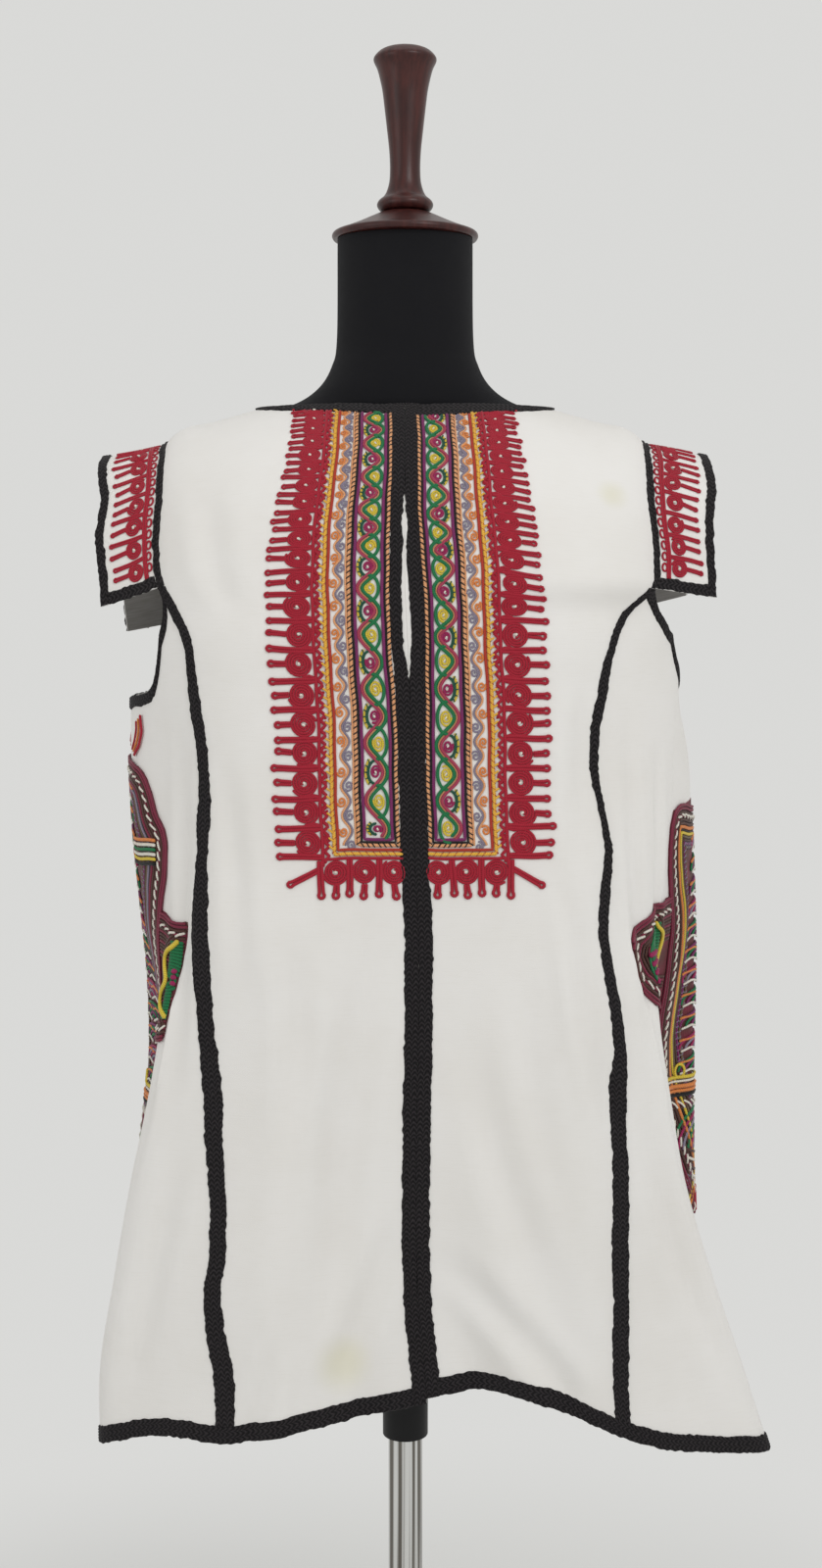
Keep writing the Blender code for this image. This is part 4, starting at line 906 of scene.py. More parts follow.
# A strip of braid. place(s, d) gives points on the cloth's outer face and the outward directions, s metres
# along and d across. The top is raised in ribs, each a low arch with slanted stitches, leaning the other way
# on the next rib; the edges are thin and a little frayed; the underside is one flat quad across
def stripData(place, length, start, end, seed):
    shape = braidShape
    rows = max(int(round(length / shape["row"])), 3) + 1
    s = np.linspace(0, length, rows)[:, None]
    start, end = (edge(s[:, 0]) if callable(edge) else np.full(rows, float(edge)) for edge in (start, end))
    width = float(np.mean(np.abs(end - start)))
    ribs = max(int(round(width / shape["rib"])), 2)
    share = np.linspace(0, 1, ribs * 3 + 1)[None, :]
    draw = np.random.default_rng(seed + 100)
    fray = draw.normal(0, shape["fray"], (rows, 2))
    fray = (fray + np.roll(fray, 1, axis=0)) / 1.6
    sway = wander(s[:, 0], seed) * shape["sway"]
    low = start + sway + wander(s[:, 0], seed + 1, (0.009, 0.019)) * shape["fray"] + fray[:, 0]
    high = end + sway + wander(s[:, 0], seed + 2, (0.008, 0.017)) * shape["fray"] + fray[:, 1]
    d = low[:, None] + (high - low)[:, None] * share
    rib = np.minimum(np.floor(share * ribs), ribs - 1)
    inside = share * ribs - rib
    slant = np.where(rib % 2 == 0, inside, 1 - inside)
    stitch = np.abs(np.sin(math.pi * (s / shape["stitch"] + slant * 0.9))) ** 0.8
    arch = np.sin(math.pi * np.clip(inside, 0, 1)) ** 0.7
    body = shape["thick"] * (0.30 + 0.58 * (1 - np.abs(2 * share - 1) ** 7))
    height = body + shape["ribHeight"] * arch + shape["stitchHeight"] * stitch * arch
    height = height + wander(s, seed + 5, (0.031, 0.067)) * 0.00010
    s = s + 0 * d
    points, outward = place(s, d)
    top = points + outward * height[..., None]
    under = (points - outward * 0.0001)[:, [0, -1]]
    columns = top.shape[1]
    index = np.arange(rows * columns).reshape(rows, columns)
    low, high = rows * columns + 2 * np.arange(rows), rows * columns + 2 * np.arange(rows) + 1
    k = np.arange(rows - 1)
    quads = [
        gridQuads(rows, columns),
        np.stack([index[k + 1, 0], low[k + 1], low[k], index[k, 0]], 1),
        np.stack([index[k, -1], high[k], high[k + 1], index[k + 1, -1]], 1),
        np.stack([low[k], low[k + 1], high[k + 1], high[k]], 1),
    ]
    ends = []
    for row, turn in ((0, 1), (rows - 1, -1)):
        fan = [[low[row], index[row, c + 1], index[row, c]][::turn] for c in range(columns - 1)]
        ends += fan + [[low[row], high[row], index[row, -1]][::turn]]
    flatTop = np.stack([s, d], -1)
    flat = np.concatenate([flatTop.reshape(-1, 2), flatTop[:, [0, -1]].reshape(-1, 2)])
    return {
        "points": np.concatenate([top.reshape(-1, 3), under.reshape(-1, 3)]),
        "quads": np.concatenate(quads),
        "triangles": np.array(ends),
        "flat": flat,
    }


def joinedData(parts):
    shift = np.cumsum([0] + [len(part["points"]) for part in parts[:-1]])
    whole = {key: np.concatenate([part[key] for part in parts]) for key in ("points", "flat")}
    for key in ("quads", "triangles"):
        whole[key] = np.concatenate([part[key] + first for part, first in zip(parts, shift)])
    return whole


# Each part is turned outwards on its own before they are joined
def outwardData(part):
    if pointInwards(part["points"], part["quads"], part["triangles"]):
        part = dict(part, quads=part["quads"][:, ::-1], triangles=part["triangles"][:, ::-1])
    return part


def makeBraid(node, parts):
    whole = joinedData([outwardData(part) for part in parts])
    corners = np.concatenate([whole["quads"].ravel(), whole["triangles"].ravel()])
    name = f"{node}_wool"
    mesh = meshFrom(name, whole["points"], whole["quads"], whole["triangles"], whole["flat"][corners])
    addPiece(name, mesh, "black_braid", instead=[node], sharp=70)


# A line drawn on the coat: its length, and u and v at a number of metres along it
def coatLine(half, u, v):
    metres = alongPath(smoothPoint(half, u, v))
    return metres[-1], lambda s: (np.interp(s, metres, u), np.interp(s, metres, v))


# place(s, d) for a strip beside a line on the coat; d is measured along u or along v, on its own side
def besideLine(half, line, direction):
    def place(s, d):
        u, v = line(s)
        near = np.where(d < 0, -0.01, 0.01)
        if direction == "u":
            u = u + d / metresPerU(half, u + near, v)
        else:
            v = stepDown(half, u, v, d)
        return coatPoint(half, np.clip(u, 0, 8), np.maximum(v, 0.0), coatShape["cloth"])

    return place


# A seam braid's edge on one side, s metres down the seam: even behind, uneven as in its table in front
def seamEdge(half, front, length, side):
    shape = braidShape
    table = np.array(shape["princess"][half])

    def evenEdge(s):
        share = np.clip(s / length, 0, 1)
        return side * (shape["seamTop"] + (shape["seamHem"] - shape["seamTop"]) * share) / 2

    def unevenEdge(s):
        off, wide = curveThrough(table[:, 0], table[:, 1:], np.clip(s / length, 0, 1)).T
        return (off + side * wide / 2) / 1000

    return unevenEdge if front else evenEdge


# The front neck braid is wider towards the middle
def neckWidth(half, u):
    share = np.clip(u / coatShape["neckU"], 0, 1)
    return braidShape["neck"] + braidShape["neckWider"][half] * np.cos(math.pi / 2 * share) ** 0.8


# How far the front edge draws back from the slit, h metres up the cloth from the yoke's lower corner
def slitAt(h):
    table = np.array(braidShape["slit"])
    return curveThrough(table[:, 0], table[:, 1], h)[..., 0] / 1000


# How far the braid's outer edge, and the yoke beside it, move out there: a bell along the edge
def partedAt(half, h):
    shape = braidShape
    return shape["parted"][half] * np.exp(-(((h - shape["slitMiddle"]) / shape["slitReach"]) ** 2))


def makeSeamBraids(half):
    word, shape = sideWord[half], braidShape
    overhang = shape["overhang"]
    # v where the seam braids end, 0.9 mm under the hem braid; the cloth is about 0.64 m long there
    hemTop = 2 - (shape["hem"] - 0.0009) / 0.64
    # front edge: the braid draws back a little from the slit at the breast
    v = np.linspace(necklineV(half, np.array(0.0), False), 2.0, 400)
    length, line = coatLine(half, np.zeros(400), v)
    edge = smoothPoint(half, np.zeros(400), v)
    corner = float(np.interp(-yokeHeight, -edge[:, 2], alongPath(edge)))

    def edgeStart(s):
        return slitAt(corner - s) - shape["meet"]

    def edgeEnd(s):
        return partedAt(half, corner - s) + shape["edge"] - shape["meet"]

    strip = stripData(besideLine(half, line, "u"), length, edgeStart, edgeEnd, 11 + half)
    makeBraid(f"edge_braid_{word}", [strip])
    # princess seams, in front and behind
    for label, u, foot, seed in (("front", 1.0, "armholeFront", 21), ("back", 7.0, "armholeBack", 31)):
        v = np.linspace(coatShape[foot] + 0.002, hemTop, 400)
        length, line = coatLine(half, np.full(400, u), v)
        edges = [seamEdge(half, u < 4, length, side) for side in (-1, 1)]
        strip = stripData(besideLine(half, line, "u"), length, *edges, seed + half)
        makeBraid(f"princess_braid_{label}_{word}", [strip])
    # under the arm, from one princess seam to the other
    u = np.linspace(1.05, 6.95, 500)
    length, line = coatLine(half, u, underarmV(half, u))
    strip = stripData(besideLine(half, line, "v"), length, -overhang, shape["armhole"], 41 + half)
    makeBraid(f"underarm_braid_{word}", [strip])
    # hem, in front of the valley and at the side; it starts just under the edge braid, as the neck's does
    beside = (shape["edge"] - 0.0018) / metresPerU(half, np.array(0.03), np.array(1.999))
    for label, first, last, seed in (("front", float(beside), 3.0, 51), ("side", 3.0, 5.0, 61)):
        u = np.linspace(first + (0.003 if first == 3.0 else 0.0), last - 0.003, 500)
        length, line = coatLine(half, u, np.full(500, 2.0))
        strip = stripData(besideLine(half, line, "v"), length, -shape["hem"], overhang, seed + half)
        makeBraid(f"hem_braid_{label}_{word}", [strip])
    # front neckline, from the edge braid to the shoulder
    near = np.array(0.03)
    first = (shape["edge"] - 0.0014) / metresPerU(half, near, necklineV(half, near, False))
    u = np.linspace(float(first), coatShape["neckU"] - 0.0005, 500)
    length, line = coatLine(half, u, necklineV(half, u, False))

    def neckEdge(s):
        return neckWidth(half, line(s)[0])

    strip = stripData(besideLine(half, line, "v"), length, -overhang, neckEdge, 71 + half)
    makeBraid(f"neck_braid_{word}", [strip])


# Strips behind run on over the centre back, so each is made in two halves that meet there
def makeBackBraids():
    shape, overhang = braidShape, braidShape["overhang"]
    neck, hem = [], []
    for half in (right, left):
        u = np.linspace(8 - coatShape["neckU"] + 0.0005, 8.0, 400)
        length, line = coatLine(half, u, necklineV(half, u, True))
        neck.append(stripData(besideLine(half, line, "v"), length, -overhang, shape["neck"], 81))
        u = np.linspace(5.003, 8.0, 500)
        length, line = coatLine(half, u, np.full(500, 2.0))
        hem.append(stripData(besideLine(half, line, "v"), length, -shape["hem"], overhang, 91))
    makeBraid("neck_braid_back", neck)
    makeBraid("hem_braid_back", hem)


# The armhole braid lies half on the body and half on the sleeve band; the sleeve braid goes round the band's
# outer edge and both its feet
def makeSleeveBraids(half):
    word, shape = sideWord[half], braidShape
    steps = np.linspace(-1, 1, 400)
    edges = {across: sleevePoint(half, np.full(400, across), steps) for across in (0.0, 1.0)}
    metres = {k: alongPath(path) for k, path in edges.items()}
    lift, overhang = coatShape["cloth"], shape["overhang"]
    across = sleeveShape["width"]

    def overArmhole(s, d):
        along = np.interp(s, metres[0.0], steps)
        inFront = along < 0
        foot = np.where(inFront, coatShape["armholeFront"], coatShape["armholeBack"])
        seam, towards = np.where(inFront, 1.0, 7.0), np.where(inFront, -1.0, 1.0)
        v = np.abs(along) * foot
        reach = np.maximum(-d, 0) / metresPerU(half, seam + towards * 0.01, v)
        body, bodyOut = coatPoint(half, seam + towards * reach, v, lift)
        sleeve, sleeveOut = sleevePlace(half, np.maximum(d, 0) / across, along, np.full_like(d, lift))
        share = np.clip(d / 0.003 + 0.5, 0, 1)[..., None]
        outward = bodyOut * (1 - share) + sleeveOut * share
        outward /= np.linalg.norm(outward, axis=-1, keepdims=True)
        return np.where((d < 0)[..., None], body, sleeve), outward

    wide = shape["armhole"] / 2
    makeBraid(f"armhole_braid_{word}", [stripData(overArmhole, metres[0.0][-1], -wide, wide, 101 + half)])

    def roundEdge(s, d):
        along = np.interp(s, metres[1.0], steps)
        return sleevePlace(half, 1 - d / across, along, np.full_like(d, lift))

    strips = [stripData(roundEdge, metres[1.0][-1], -overhang, shape["sleeve"], 111 + half)]
    metresAlong = metres[0.0][-1] / 2
    length = across - wide - shape["sleeve"] - 0.0002
    for foot in (-1, 1):

        def overFoot(s, d, foot=foot):
            out = (s + wide + 0.0002) / across
            return sleevePlace(half, out, foot * (1 - d / metresAlong), np.full_like(d, lift))

        strips.append(stripData(overFoot, length, -overhang, shape["sleeve"], 121 + half + 3 * foot))
    makeBraid(f"sleeve_braid_{word}", strips)


# Dyes of the couched cords
dyes = {
    "crimson": "AA1B31", "brick": "B23A2A", "orange": "E08848", "peach": "E6A676", "amber": "EBB544",
    "yellow": "DDC342", "green": "1C7546", "pine": "1C5440", "plum": "7C2A62", "raspberry": "AA3E56",
    "magenta": "9C2258", "grey": "8C8294", "maroon": "7E2A40", "olive": "6C5B46", "brown": "53352E",
    "cream": "E9E4D8", "black": "1A1819",
}


# Places on a flat path by their distance from its start, where metres is the path's own measure
def pathAt(path, metres, at):
    return np.stack([np.interp(at, metres, path[:, k]) for k in (0, 1)], -1)


# One place on a flat path, and the directions onward and to the left there, taken over a short step
def standAt(path, metres, at, step):
    here, ahead = pathAt(path, metres, at), pathAt(path, metres, at + step)
    onward = (ahead - here) / (np.linalg.norm(ahead - here) + 1e-9)
    return here, onward, np.array([-onward[1], onward[0]])


# The same path moved sideways, to its left
def besidePath(path, distance):
    onward = np.gradient(path, axis=0)
    onward /= np.linalg.norm(onward, axis=1, keepdims=True) + 1e-9
    return path + np.stack([-onward[:, 1], onward[:, 0]], 1) * distance


class Plan:
    # cords drawn on a flat plan of the cloth, in millimetres
    def __init__(self, seed):
        self.cords = []
        self.draw = np.random.default_rng(seed)

    def vary(self, amount):
        return self.draw.uniform(-amount, amount)

    def cord(self, path, width, dye, step=2.3, rise=0.0):
        path = np.asarray(path, float)
        metres = alongPath(path)
        count = max(int(round(metres[-1] / step)), 1) + 1
        points = pathAt(path, metres, np.linspace(0, metres[-1], count))
        rise = np.interp(np.linspace(0, 1, count), np.linspace(0, 1, np.size(rise)), np.atleast_1d(rise))
        self.cords.append((points, width / 2, dye, rise))

    # a twisted rope: one cord with slanted ticks of a second dye over it
    def rope(self, path, width, dye, tickDye, pitch, lean=0.9, tick=0.9):
        path = np.asarray(path, float)
        self.cord(path, width, dye)
        metres = alongPath(path)
        for at in np.arange(pitch, metres[-1], pitch):
            here, onward, aside = standAt(path, metres, at + self.vary(pitch * 0.12), 0.3)
            aside = aside * width * 0.52
            start, end = here - aside - onward * lean, here + aside + onward * lean
            high = 0.66 * width - 0.2 * tick
            self.cord([start, here, end], tick, tickDye, 1.3, [0.1 * width, high, 0.1 * width])

    # a flat coil, from its middle outwards
    def coil(self, centre, radius, pitch, width, dye, stretch=1.0, inner=0.8, step=1.6):
        turns = (radius - inner) / pitch
        angle = np.linspace(0, 2 * math.pi * turns, int(16 * turns) + 6) + self.draw.uniform(0, 6.28)
        reach = inner + (radius - inner) * np.linspace(0, 1, len(angle))
        path = np.stack([centre[0] + reach * np.cos(angle), centre[1] + reach * np.sin(angle) * stretch], 1)
        self.cord(path, width, dye, step)

    def arc(self, centre, radius, first, last, width, dye, stretch=1.0, step=1.6, rise=0.0):
        angle = np.radians(np.linspace(first, last, 24))
        path = np.stack([centre[0] + radius * np.cos(angle), centre[1] + radius * np.sin(angle) * stretch], 1)
        self.cord(path, width, dye, step, rise)

    # a finger: the cord runs out, round a small bulb at the tip and back beside itself
    def finger(self, start, end, gap, bulb, width, dye):
        start, end = np.asarray(start, float), np.asarray(end, float)
        onward = (end - start) / np.linalg.norm(end - start)
        aside = np.array([-onward[1], onward[0]])
        angle = np.radians(np.linspace(140, -140, 11))[:, None]
        tip = end - onward * bulb
        ring = tip + onward * np.cos(angle) * bulb + aside * np.sin(angle) * bulb
        self.cord(np.concatenate([[start + aside * gap], ring, [start - aside * gap]]), width, dye, 1.6)

    # a rosette: a coil of cord about a pale stitch
    def rosette(self, centre, radius, dye, width=2.1, tall=1.0):
        self.coil(centre, radius - width / 2, width * 0.98, width, dye, tall, inner=1.9)
        slant = math.radians(40 + self.vary(25))
        reach = np.array([math.cos(slant), math.sin(slant)]) * 0.9
        self.cord([centre - reach, centre + reach], 2.1, "cream", 0.9, 0.5)

    def wave(self, middle, amplitude, period, phase, low, high):
        y = np.arange(high, low - 0.5, -1.0)
        return np.stack([middle + amplitude * np.cos(2 * math.pi * (y - phase) / period), y], 1)


# A small shared sway, so that neighbouring cords stray together as hand work does
def handSway(points, seed):
    x, y = points[:, 0], points[:, 1]
    swayX = np.sin(y / 17.3 + seed) * 0.45 + np.sin(y / 7.1 + x / 13.0 + 2 * seed) * 0.22
    swayY = np.sin(x / 11.7 + seed * 1.7) * 0.40 + np.sin(x / 5.9 + y / 19.0 + seed) * 0.20
    return points + np.stack([swayX, swayY], 1)


# Cords as closed tubes of four or five sides, for a whole plan at once. place(points, lift) gives points on
# the cloth and outward directions, and keep(points) says which are wanted. Each ring lies in the plane of the
# cloth's outward direction and the sideways one, which is the cross product of outward and onward
def makeCords(name, plan, place, keep=None, sides=5, seed=0.0):
    runs = []
    for points, radius, dye, rise in plan.cords:
        points = handSway(points, seed)
        wanted = np.ones(len(points), bool) if keep is None else keep(points / 1000)
        # a cord that passes under the lap is cut into its showing stretches
        turns = np.flatnonzero(np.diff(np.concatenate([[0], wanted.astype(int), [0]])))
        for first, past in turns.reshape(-1, 2):
            if past - first >= 2:
                kept = slice(first, past)
                runs.append((points[kept], np.full(past - first, radius), dye, rise[kept]))
    sizes = np.array([len(run[0]) for run in runs])
    ends = np.cumsum(sizes) - 1
    starts = ends - sizes + 1
    flat = np.concatenate([run[0] for run in runs])
    radius = np.concatenate([run[1] for run in runs]) / 1000
    rise = np.concatenate([run[3] for run in runs]) / 1000
    dye = np.concatenate([np.tile(colour(dyes[run[2]]), (len(run[0]), 1)) for run in runs])
    along = np.concatenate([alongPath(run[0]) for run in runs]) / 1000
    centre, outward = place(flat / 1000, radius * 0.60 + rise)
    before, after = np.arange(len(flat)) - 1, np.arange(len(flat)) + 1
    before[starts], after[ends] = starts, ends
    onward = centre[after] - centre[before]
    onward /= np.linalg.norm(onward, axis=1, keepdims=True) + 1e-12
    aside = np.cross(outward, onward)
    aside /= np.linalg.norm(aside, axis=1, keepdims=True) + 1e-12
    up = np.cross(onward, aside)
    angle = 2 * math.pi * (np.arange(sides) + 0.25) / sides
    ring = centre[:, None] + radius[:, None, None] * (
        np.cos(angle)[None, :, None] * aside[:, None] + np.sin(angle)[None, :, None] * 0.76 * up[:, None]
    )
    reach = onward * radius[:, None] * 0.7
    tips = np.stack([(centre - reach)[starts], (centre + reach)[ends]], 1)
    count = len(flat) * sides
    inside = np.setdiff1d(np.arange(len(flat)), ends)[:, None]
    k = np.arange(sides)[None, :]
    following = (k + 1) % sides
    near, far = inside * sides, (inside + 1) * sides
    quads = np.stack([near + k, near + following, far + following, far + k], -1).reshape(-1, 4)
    low, high = starts[:, None] * sides, ends[:, None] * sides
    run = np.arange(len(runs))[:, None]
    startCap = np.stack([count + 2 * run + 0 * k, low + following, low + k], -1).reshape(-1, 3)
    endCap = np.stack([count + 2 * run + 1 + 0 * k, high + k, high + following], -1).reshape(-1, 3)
    caps = np.concatenate([startCap, endCap])
    share = np.broadcast_to(k / sides, (len(inside), sides))
    onShare = share + 1 / sides
    here, there = along[inside] + 0 * share, along[inside + 1] + 0 * share
    quadMap = np.stack([here, share, here, onShare, there, onShare, there, share], -1).reshape(-1, 2)
    cornerMap = np.concatenate([quadMap, np.zeros((3 * len(caps), 2))])
    points = np.concatenate([ring.reshape(-1, 3), tips.reshape(-1, 3)])
    tipDyes = np.stack([dye[starts], dye[ends]], 1).reshape(-1, 4)
    pointDyes = np.concatenate([np.repeat(dye, sides, axis=0), tipDyes])
    mesh = meshFrom(name, points, quads, caps, cornerMap, pointDyes)
    print(name, len(runs), "cords,", 2 * len(quads) + len(caps), "triangles")
    addPiece(name, mesh, "embroidery")


# Measured places on the coat: x metres round from the line u = start, and h metres up the cloth from a
# height. Two tables of arc lengths are turned round by interpolation, then read by turns until both agree
def clothMeasure(half, start, height):
    perU, firstV, rows = 40, 0.02, 180  # columns for each step of u, first row, and rows down to the hem
    reachX, reachH, cell = 0.30, 0.50, 0.004  # metres that the tables reach to each side, and their step
    v, u = np.linspace(firstV, 2.0, rows), np.linspace(0, 8, 8 * perU + 1)
    grid = smoothPoint(half, u[None, :] + 0 * v[:, None], v[:, None] + 0 * u[None, :])
    steps = [np.linalg.norm(np.diff(grid, axis=axis), axis=2) for axis in (0, 1)]
    down = np.concatenate([np.zeros((1, len(u))), np.cumsum(steps[0], axis=0)])
    around = np.concatenate([np.zeros((len(v), 1)), np.cumsum(steps[1], axis=1)], axis=1)
    around = around - around[:, [int(round(start * perU))]]
    xs, hs = (np.arange(-reach, reach + cell / 4, cell) for reach in (reachX, reachH))
    uTable = np.stack([np.interp(xs, row, u) for row in around])
    level = [np.interp(-height, -grid[:, k, 2], down[:, k]) for k in range(len(u))]
    vTable = np.stack([np.interp(-hs, down[:, k] - level[k], v) for k in range(len(u))])

    def read(table, row, column):
        row, column = (np.clip(at, 0, size - 1.001) for at, size in zip((row, column), table.shape))
        r, c = row.astype(int), column.astype(int)
        a, b = row - r, column - c
        low = table[r, c] * (1 - b) + table[r, c + 1] * b
        return low * (1 - a) + (table[r + 1, c] * (1 - b) + table[r + 1, c + 1] * b) * a

    def measured(x, h):
        place = np.full_like(x, start)
        for _ in range(6):
            down = read(vTable, place * perU, (h + reachH) / cell)
            place = read(uTable, (down - firstV) / ((2.0 - firstV) / (rows - 1)), (x + reachX) / cell)
        return place, down

    return measured


# Yoke: numbers are millimetres from the front edge and above the lower corner
yokeLook = {
    "top": 405,
    "narrower": 0.14,  # share lost towards the neck
    "inner": {right: 0.2, left: 0.6},  # how far the inner frame lines lie out from the edge braid
    # heights of the eyes; they draw closer together towards the neck
    "eyes": {
        right: (-19, 21, 64, 109, 154, 190, 227, 256, 287, 322, 354, 384, 413),
        left: (-2, 42, 88, 131, 174, 211, 245, 275, 304, 337, 367, 397, 427),
    },
    "coilPitch": ((0, 60, 120, 200, 300, 405), (24.5, 23.5, 21.5, 20.0, 15.5, 12.0)),
    "rosettePitch": ((0, 175, 200, 220, 240, 280, 405), (23.5, 23.5, 20.8, 18.0, 16.2, 14.8, 14.0)),
    "rosette": 11.7,
}


def yokePlan(half):
    look = yokeLook
    plan, top, inner = Plan(5 + half), look["top"], look["inner"][half]
    # frame lines, which turn across the bottom
    a, b = 12.4 + inner, 44.8
    plan.rope([(a, top), (a, 7.0), (b, 7.0), (b, top)], 2.8, "peach", "black", 4.4, lean=1.3, tick=1.4)
    plan.cord([(a + 2.4, top), (a + 2.4, 9.3), (b - 2.5, 9.3), (b - 2.5, top)], 1.7, "black")
    plan.cord([(a + 4.6, top), (a + 4.6, 11.6), (b - 4.8, 11.6), (b - 4.8, top)], 2.7, "plum")
    plan.cord([(61.6, top), (61.6, 3.3), (10.9, 3.3)], 2.5, "brick")
    plan.rope([(64.6, top), (64.6, 0.0), (10.9, 0.0)], 3.0, "amber", "brick", 5.6, lean=1.5, tick=1.1)
    for y in np.arange(4.0, top, 6.6):
        plan.cord([(64.8, y), (68.6, y + 2.6 + plan.vary(0.6))], 1.7, "amber", 1.6, 1.0)
    # winding vine: three cords side by side, an eye in each inner bay and a bud in each outer one
    eyes = np.array(look["eyes"][half], float)
    middle = (a + 4.6 + b - 4.8) / 2
    y = np.arange(top, 12.5, -1.0)
    turns = curveThrough(eyes, np.arange(len(eyes), dtype=float), y)[..., 0]
    vine = np.stack([middle + 7.2 * np.cos(2 * math.pi * turns), y], 1)
    for distance, width, dye in ((1.9, 2.7, "raspberry"), (0.0, 1.3, "peach"), (-2.1, 2.9, "green")):
        plan.cord(besidePath(vine, distance), width, dye)
    for k in range(len(eyes) - 1):
        y, pitch = eyes[k], (eyes[min(k + 1, len(eyes) - 1)] - eyes[max(k - 1, 0)]) / 2
        tall = pitch / 36.0
        x = middle - 1.6
        if y > 12:
            plan.arc((x + 0.8, y), 7.6, 84, 276, 2.8, "green", 1.36 * tall)
            plan.coil((x + plan.vary(0.3), y), 4.7, 1.9, 1.9, "yellow", 1.2 * tall, inner=0.7, step=1.4)
            plan.arc((x, y), 5.6, -60 + plan.vary(20), 60, 1.0, "pine", 1.2 * tall)
            plan.cord([(x - 0.7, y - 0.9), (x + 0.6, y + 0.9)], 1.5, "cream", 0.9, 0.5)
        bud = (eyes[k] + eyes[k + 1]) / 2
        if bud > 17:
            x = middle + 0.5
            plan.coil((x, bud), 3.9, 1.8, 2.0, "magenta", 1.12 * tall, inner=1.1, step=1.4)
            plan.cord([(x - 0.5, bud - 0.7), (x + 0.3, bud + 0.7)], 1.6, "cream", 0.9, 0.8)
            plan.arc((x + 0.2, bud), 5.7, -80, 80, 2.3, "pine", 1.3 * tall)
            plan.arc((x + 0.2, bud), 8.0, -52, 52, 1.9, "yellow", 1.25 * tall)
            for angle in (-52, -28, -4, 20, 44):
                reach = np.array([math.cos(math.radians(angle)), 1.25 * tall * math.sin(math.radians(angle))])
                centre = np.array([x + 0.2, bud])
                plan.cord([centre + 5.2 * reach, centre + 8.6 * reach + [0.0, 0.8]], 1.1, "pine", 1.6, 0.9)
    # narrow band: two fine waves, with small coils by turns on both sides, closer together towards the neck
    coils = [6.0]
    while coils[-1] < top:
        coils.append(coils[-1] + float(np.interp(coils[-1], *look["coilPitch"])))
    coils = np.array(coils)
    y = np.arange(top, 6.5, -1.0)
    turns = curveThrough(coils, np.arange(len(coils), dtype=float), y)[..., 0]
    fine = np.stack([53.4 + 3.0 * np.cos(2 * math.pi * turns), y], 1)
    for distance, width, dye in ((0.9, 1.7, "peach"), (-0.9, 1.6, "grey")):
        plan.cord(besidePath(fine, distance), width, dye)
    plan.cord([(47.2, top), (47.2, 7.0)], 1.7, "peach")
    for y, above in zip(coils[:-1], coils[1:]):
        tall, between = 1.25 if above - y > 17 else 0.95, (y + above) / 2
        plan.coil((51.0, y + plan.vary(0.5)), 3.5, 2.0, 1.7, "grey", tall, inner=0.7, step=1.4)
        plan.coil((56.8, between + plan.vary(0.5)), 3.5, 2.0, 1.8, "orange", tall, inner=0.6, step=1.4)
    # crimson border: a scalloped cord, a straight one, and rosettes and fingers down the side, which are
    # flatter and closer together towards the neck
    plan.cord(plan.wave(70.6, 1.8, 8.0, 3.0, -6.0, top), 2.9, "crimson")
    plan.cord([(73.9, top), (73.9, -9.0)], 3.0, "crimson")
    rosettes, radius = [10.0], look["rosette"]
    while rosettes[-1] < top:
        rosettes.append(rosettes[-1] + float(np.interp(rosettes[-1], *look["rosettePitch"])))
    below = 2 * rosettes[0] - rosettes[1]
    for y, above in zip(rosettes[:-1], rosettes[1:]):
        tall = (above - y) / look["rosettePitch"][1][0]
        thin = 0.5 + 0.5 * tall
        centre = np.array([86.0 + plan.vary(0.6), y + plan.vary(0.8) * tall])
        plan.rosette(centre, radius + plan.vary(0.3), "crimson", 2.2, tall)
        plan.arc((70.2, y + 3), 2.4, -150, 150, 2.0, "crimson")
        for turn in (-1, 1):
            slant = centre + [-radius * 0.66, turn * radius * 0.80 * tall]
            plan.cord([(74.6, slant[1] + turn * 2.0), slant, slant + [5.5, turn * 1.2]], 2.4, "crimson")
        reach = 109.6 - 3.0 * np.clip((y - 260) / 100, 0, 1)
        tip = (reach + plan.vary(2.0), centre[1] + 1.2 * plan.vary(1.0))
        plan.finger(centre + [radius - 1.6, 0], tip, 1.15 * thin, 2.1 * thin, 2.8 * thin, "crimson")
        gap = (y + below) / 2 + plan.vary(0.6)
        tip = (reach + 0.6 + plan.vary(2.2), gap + plan.vary(1.8) * tall)
        plan.finger((74.5, gap), tip, 1.15 * thin, 2.1 * thin, 2.8 * thin, "crimson")
        below = y
    # the corner, then along the bottom
    plan.finger((78.0, -12.0), (101.0 + plan.vary(1.5), -25.0), 1.15, 2.1, 2.8, "crimson")
    plan.cord([(74.0, -3.6), (10.5, -3.4)], 2.6, "crimson")
    for x in (17.5, 41.0, 64.5):
        centre = np.array([x + plan.vary(0.6), -14.4])
        plan.rosette(centre, radius - 0.4, "crimson", 2.2)
        tip = (centre[0] + plan.vary(1.6), -35.0 + plan.vary(1.4))
        plan.finger(centre - [0, radius - 1.6], tip, 1.2, 2.4, 2.9, "crimson")
        gap = x + 11.8
        plan.finger((gap, -5.0), (gap + plan.vary(1.6), -34.6 + plan.vary(1.8)), 1.2, 2.4, 2.9, "crimson")
    return plan


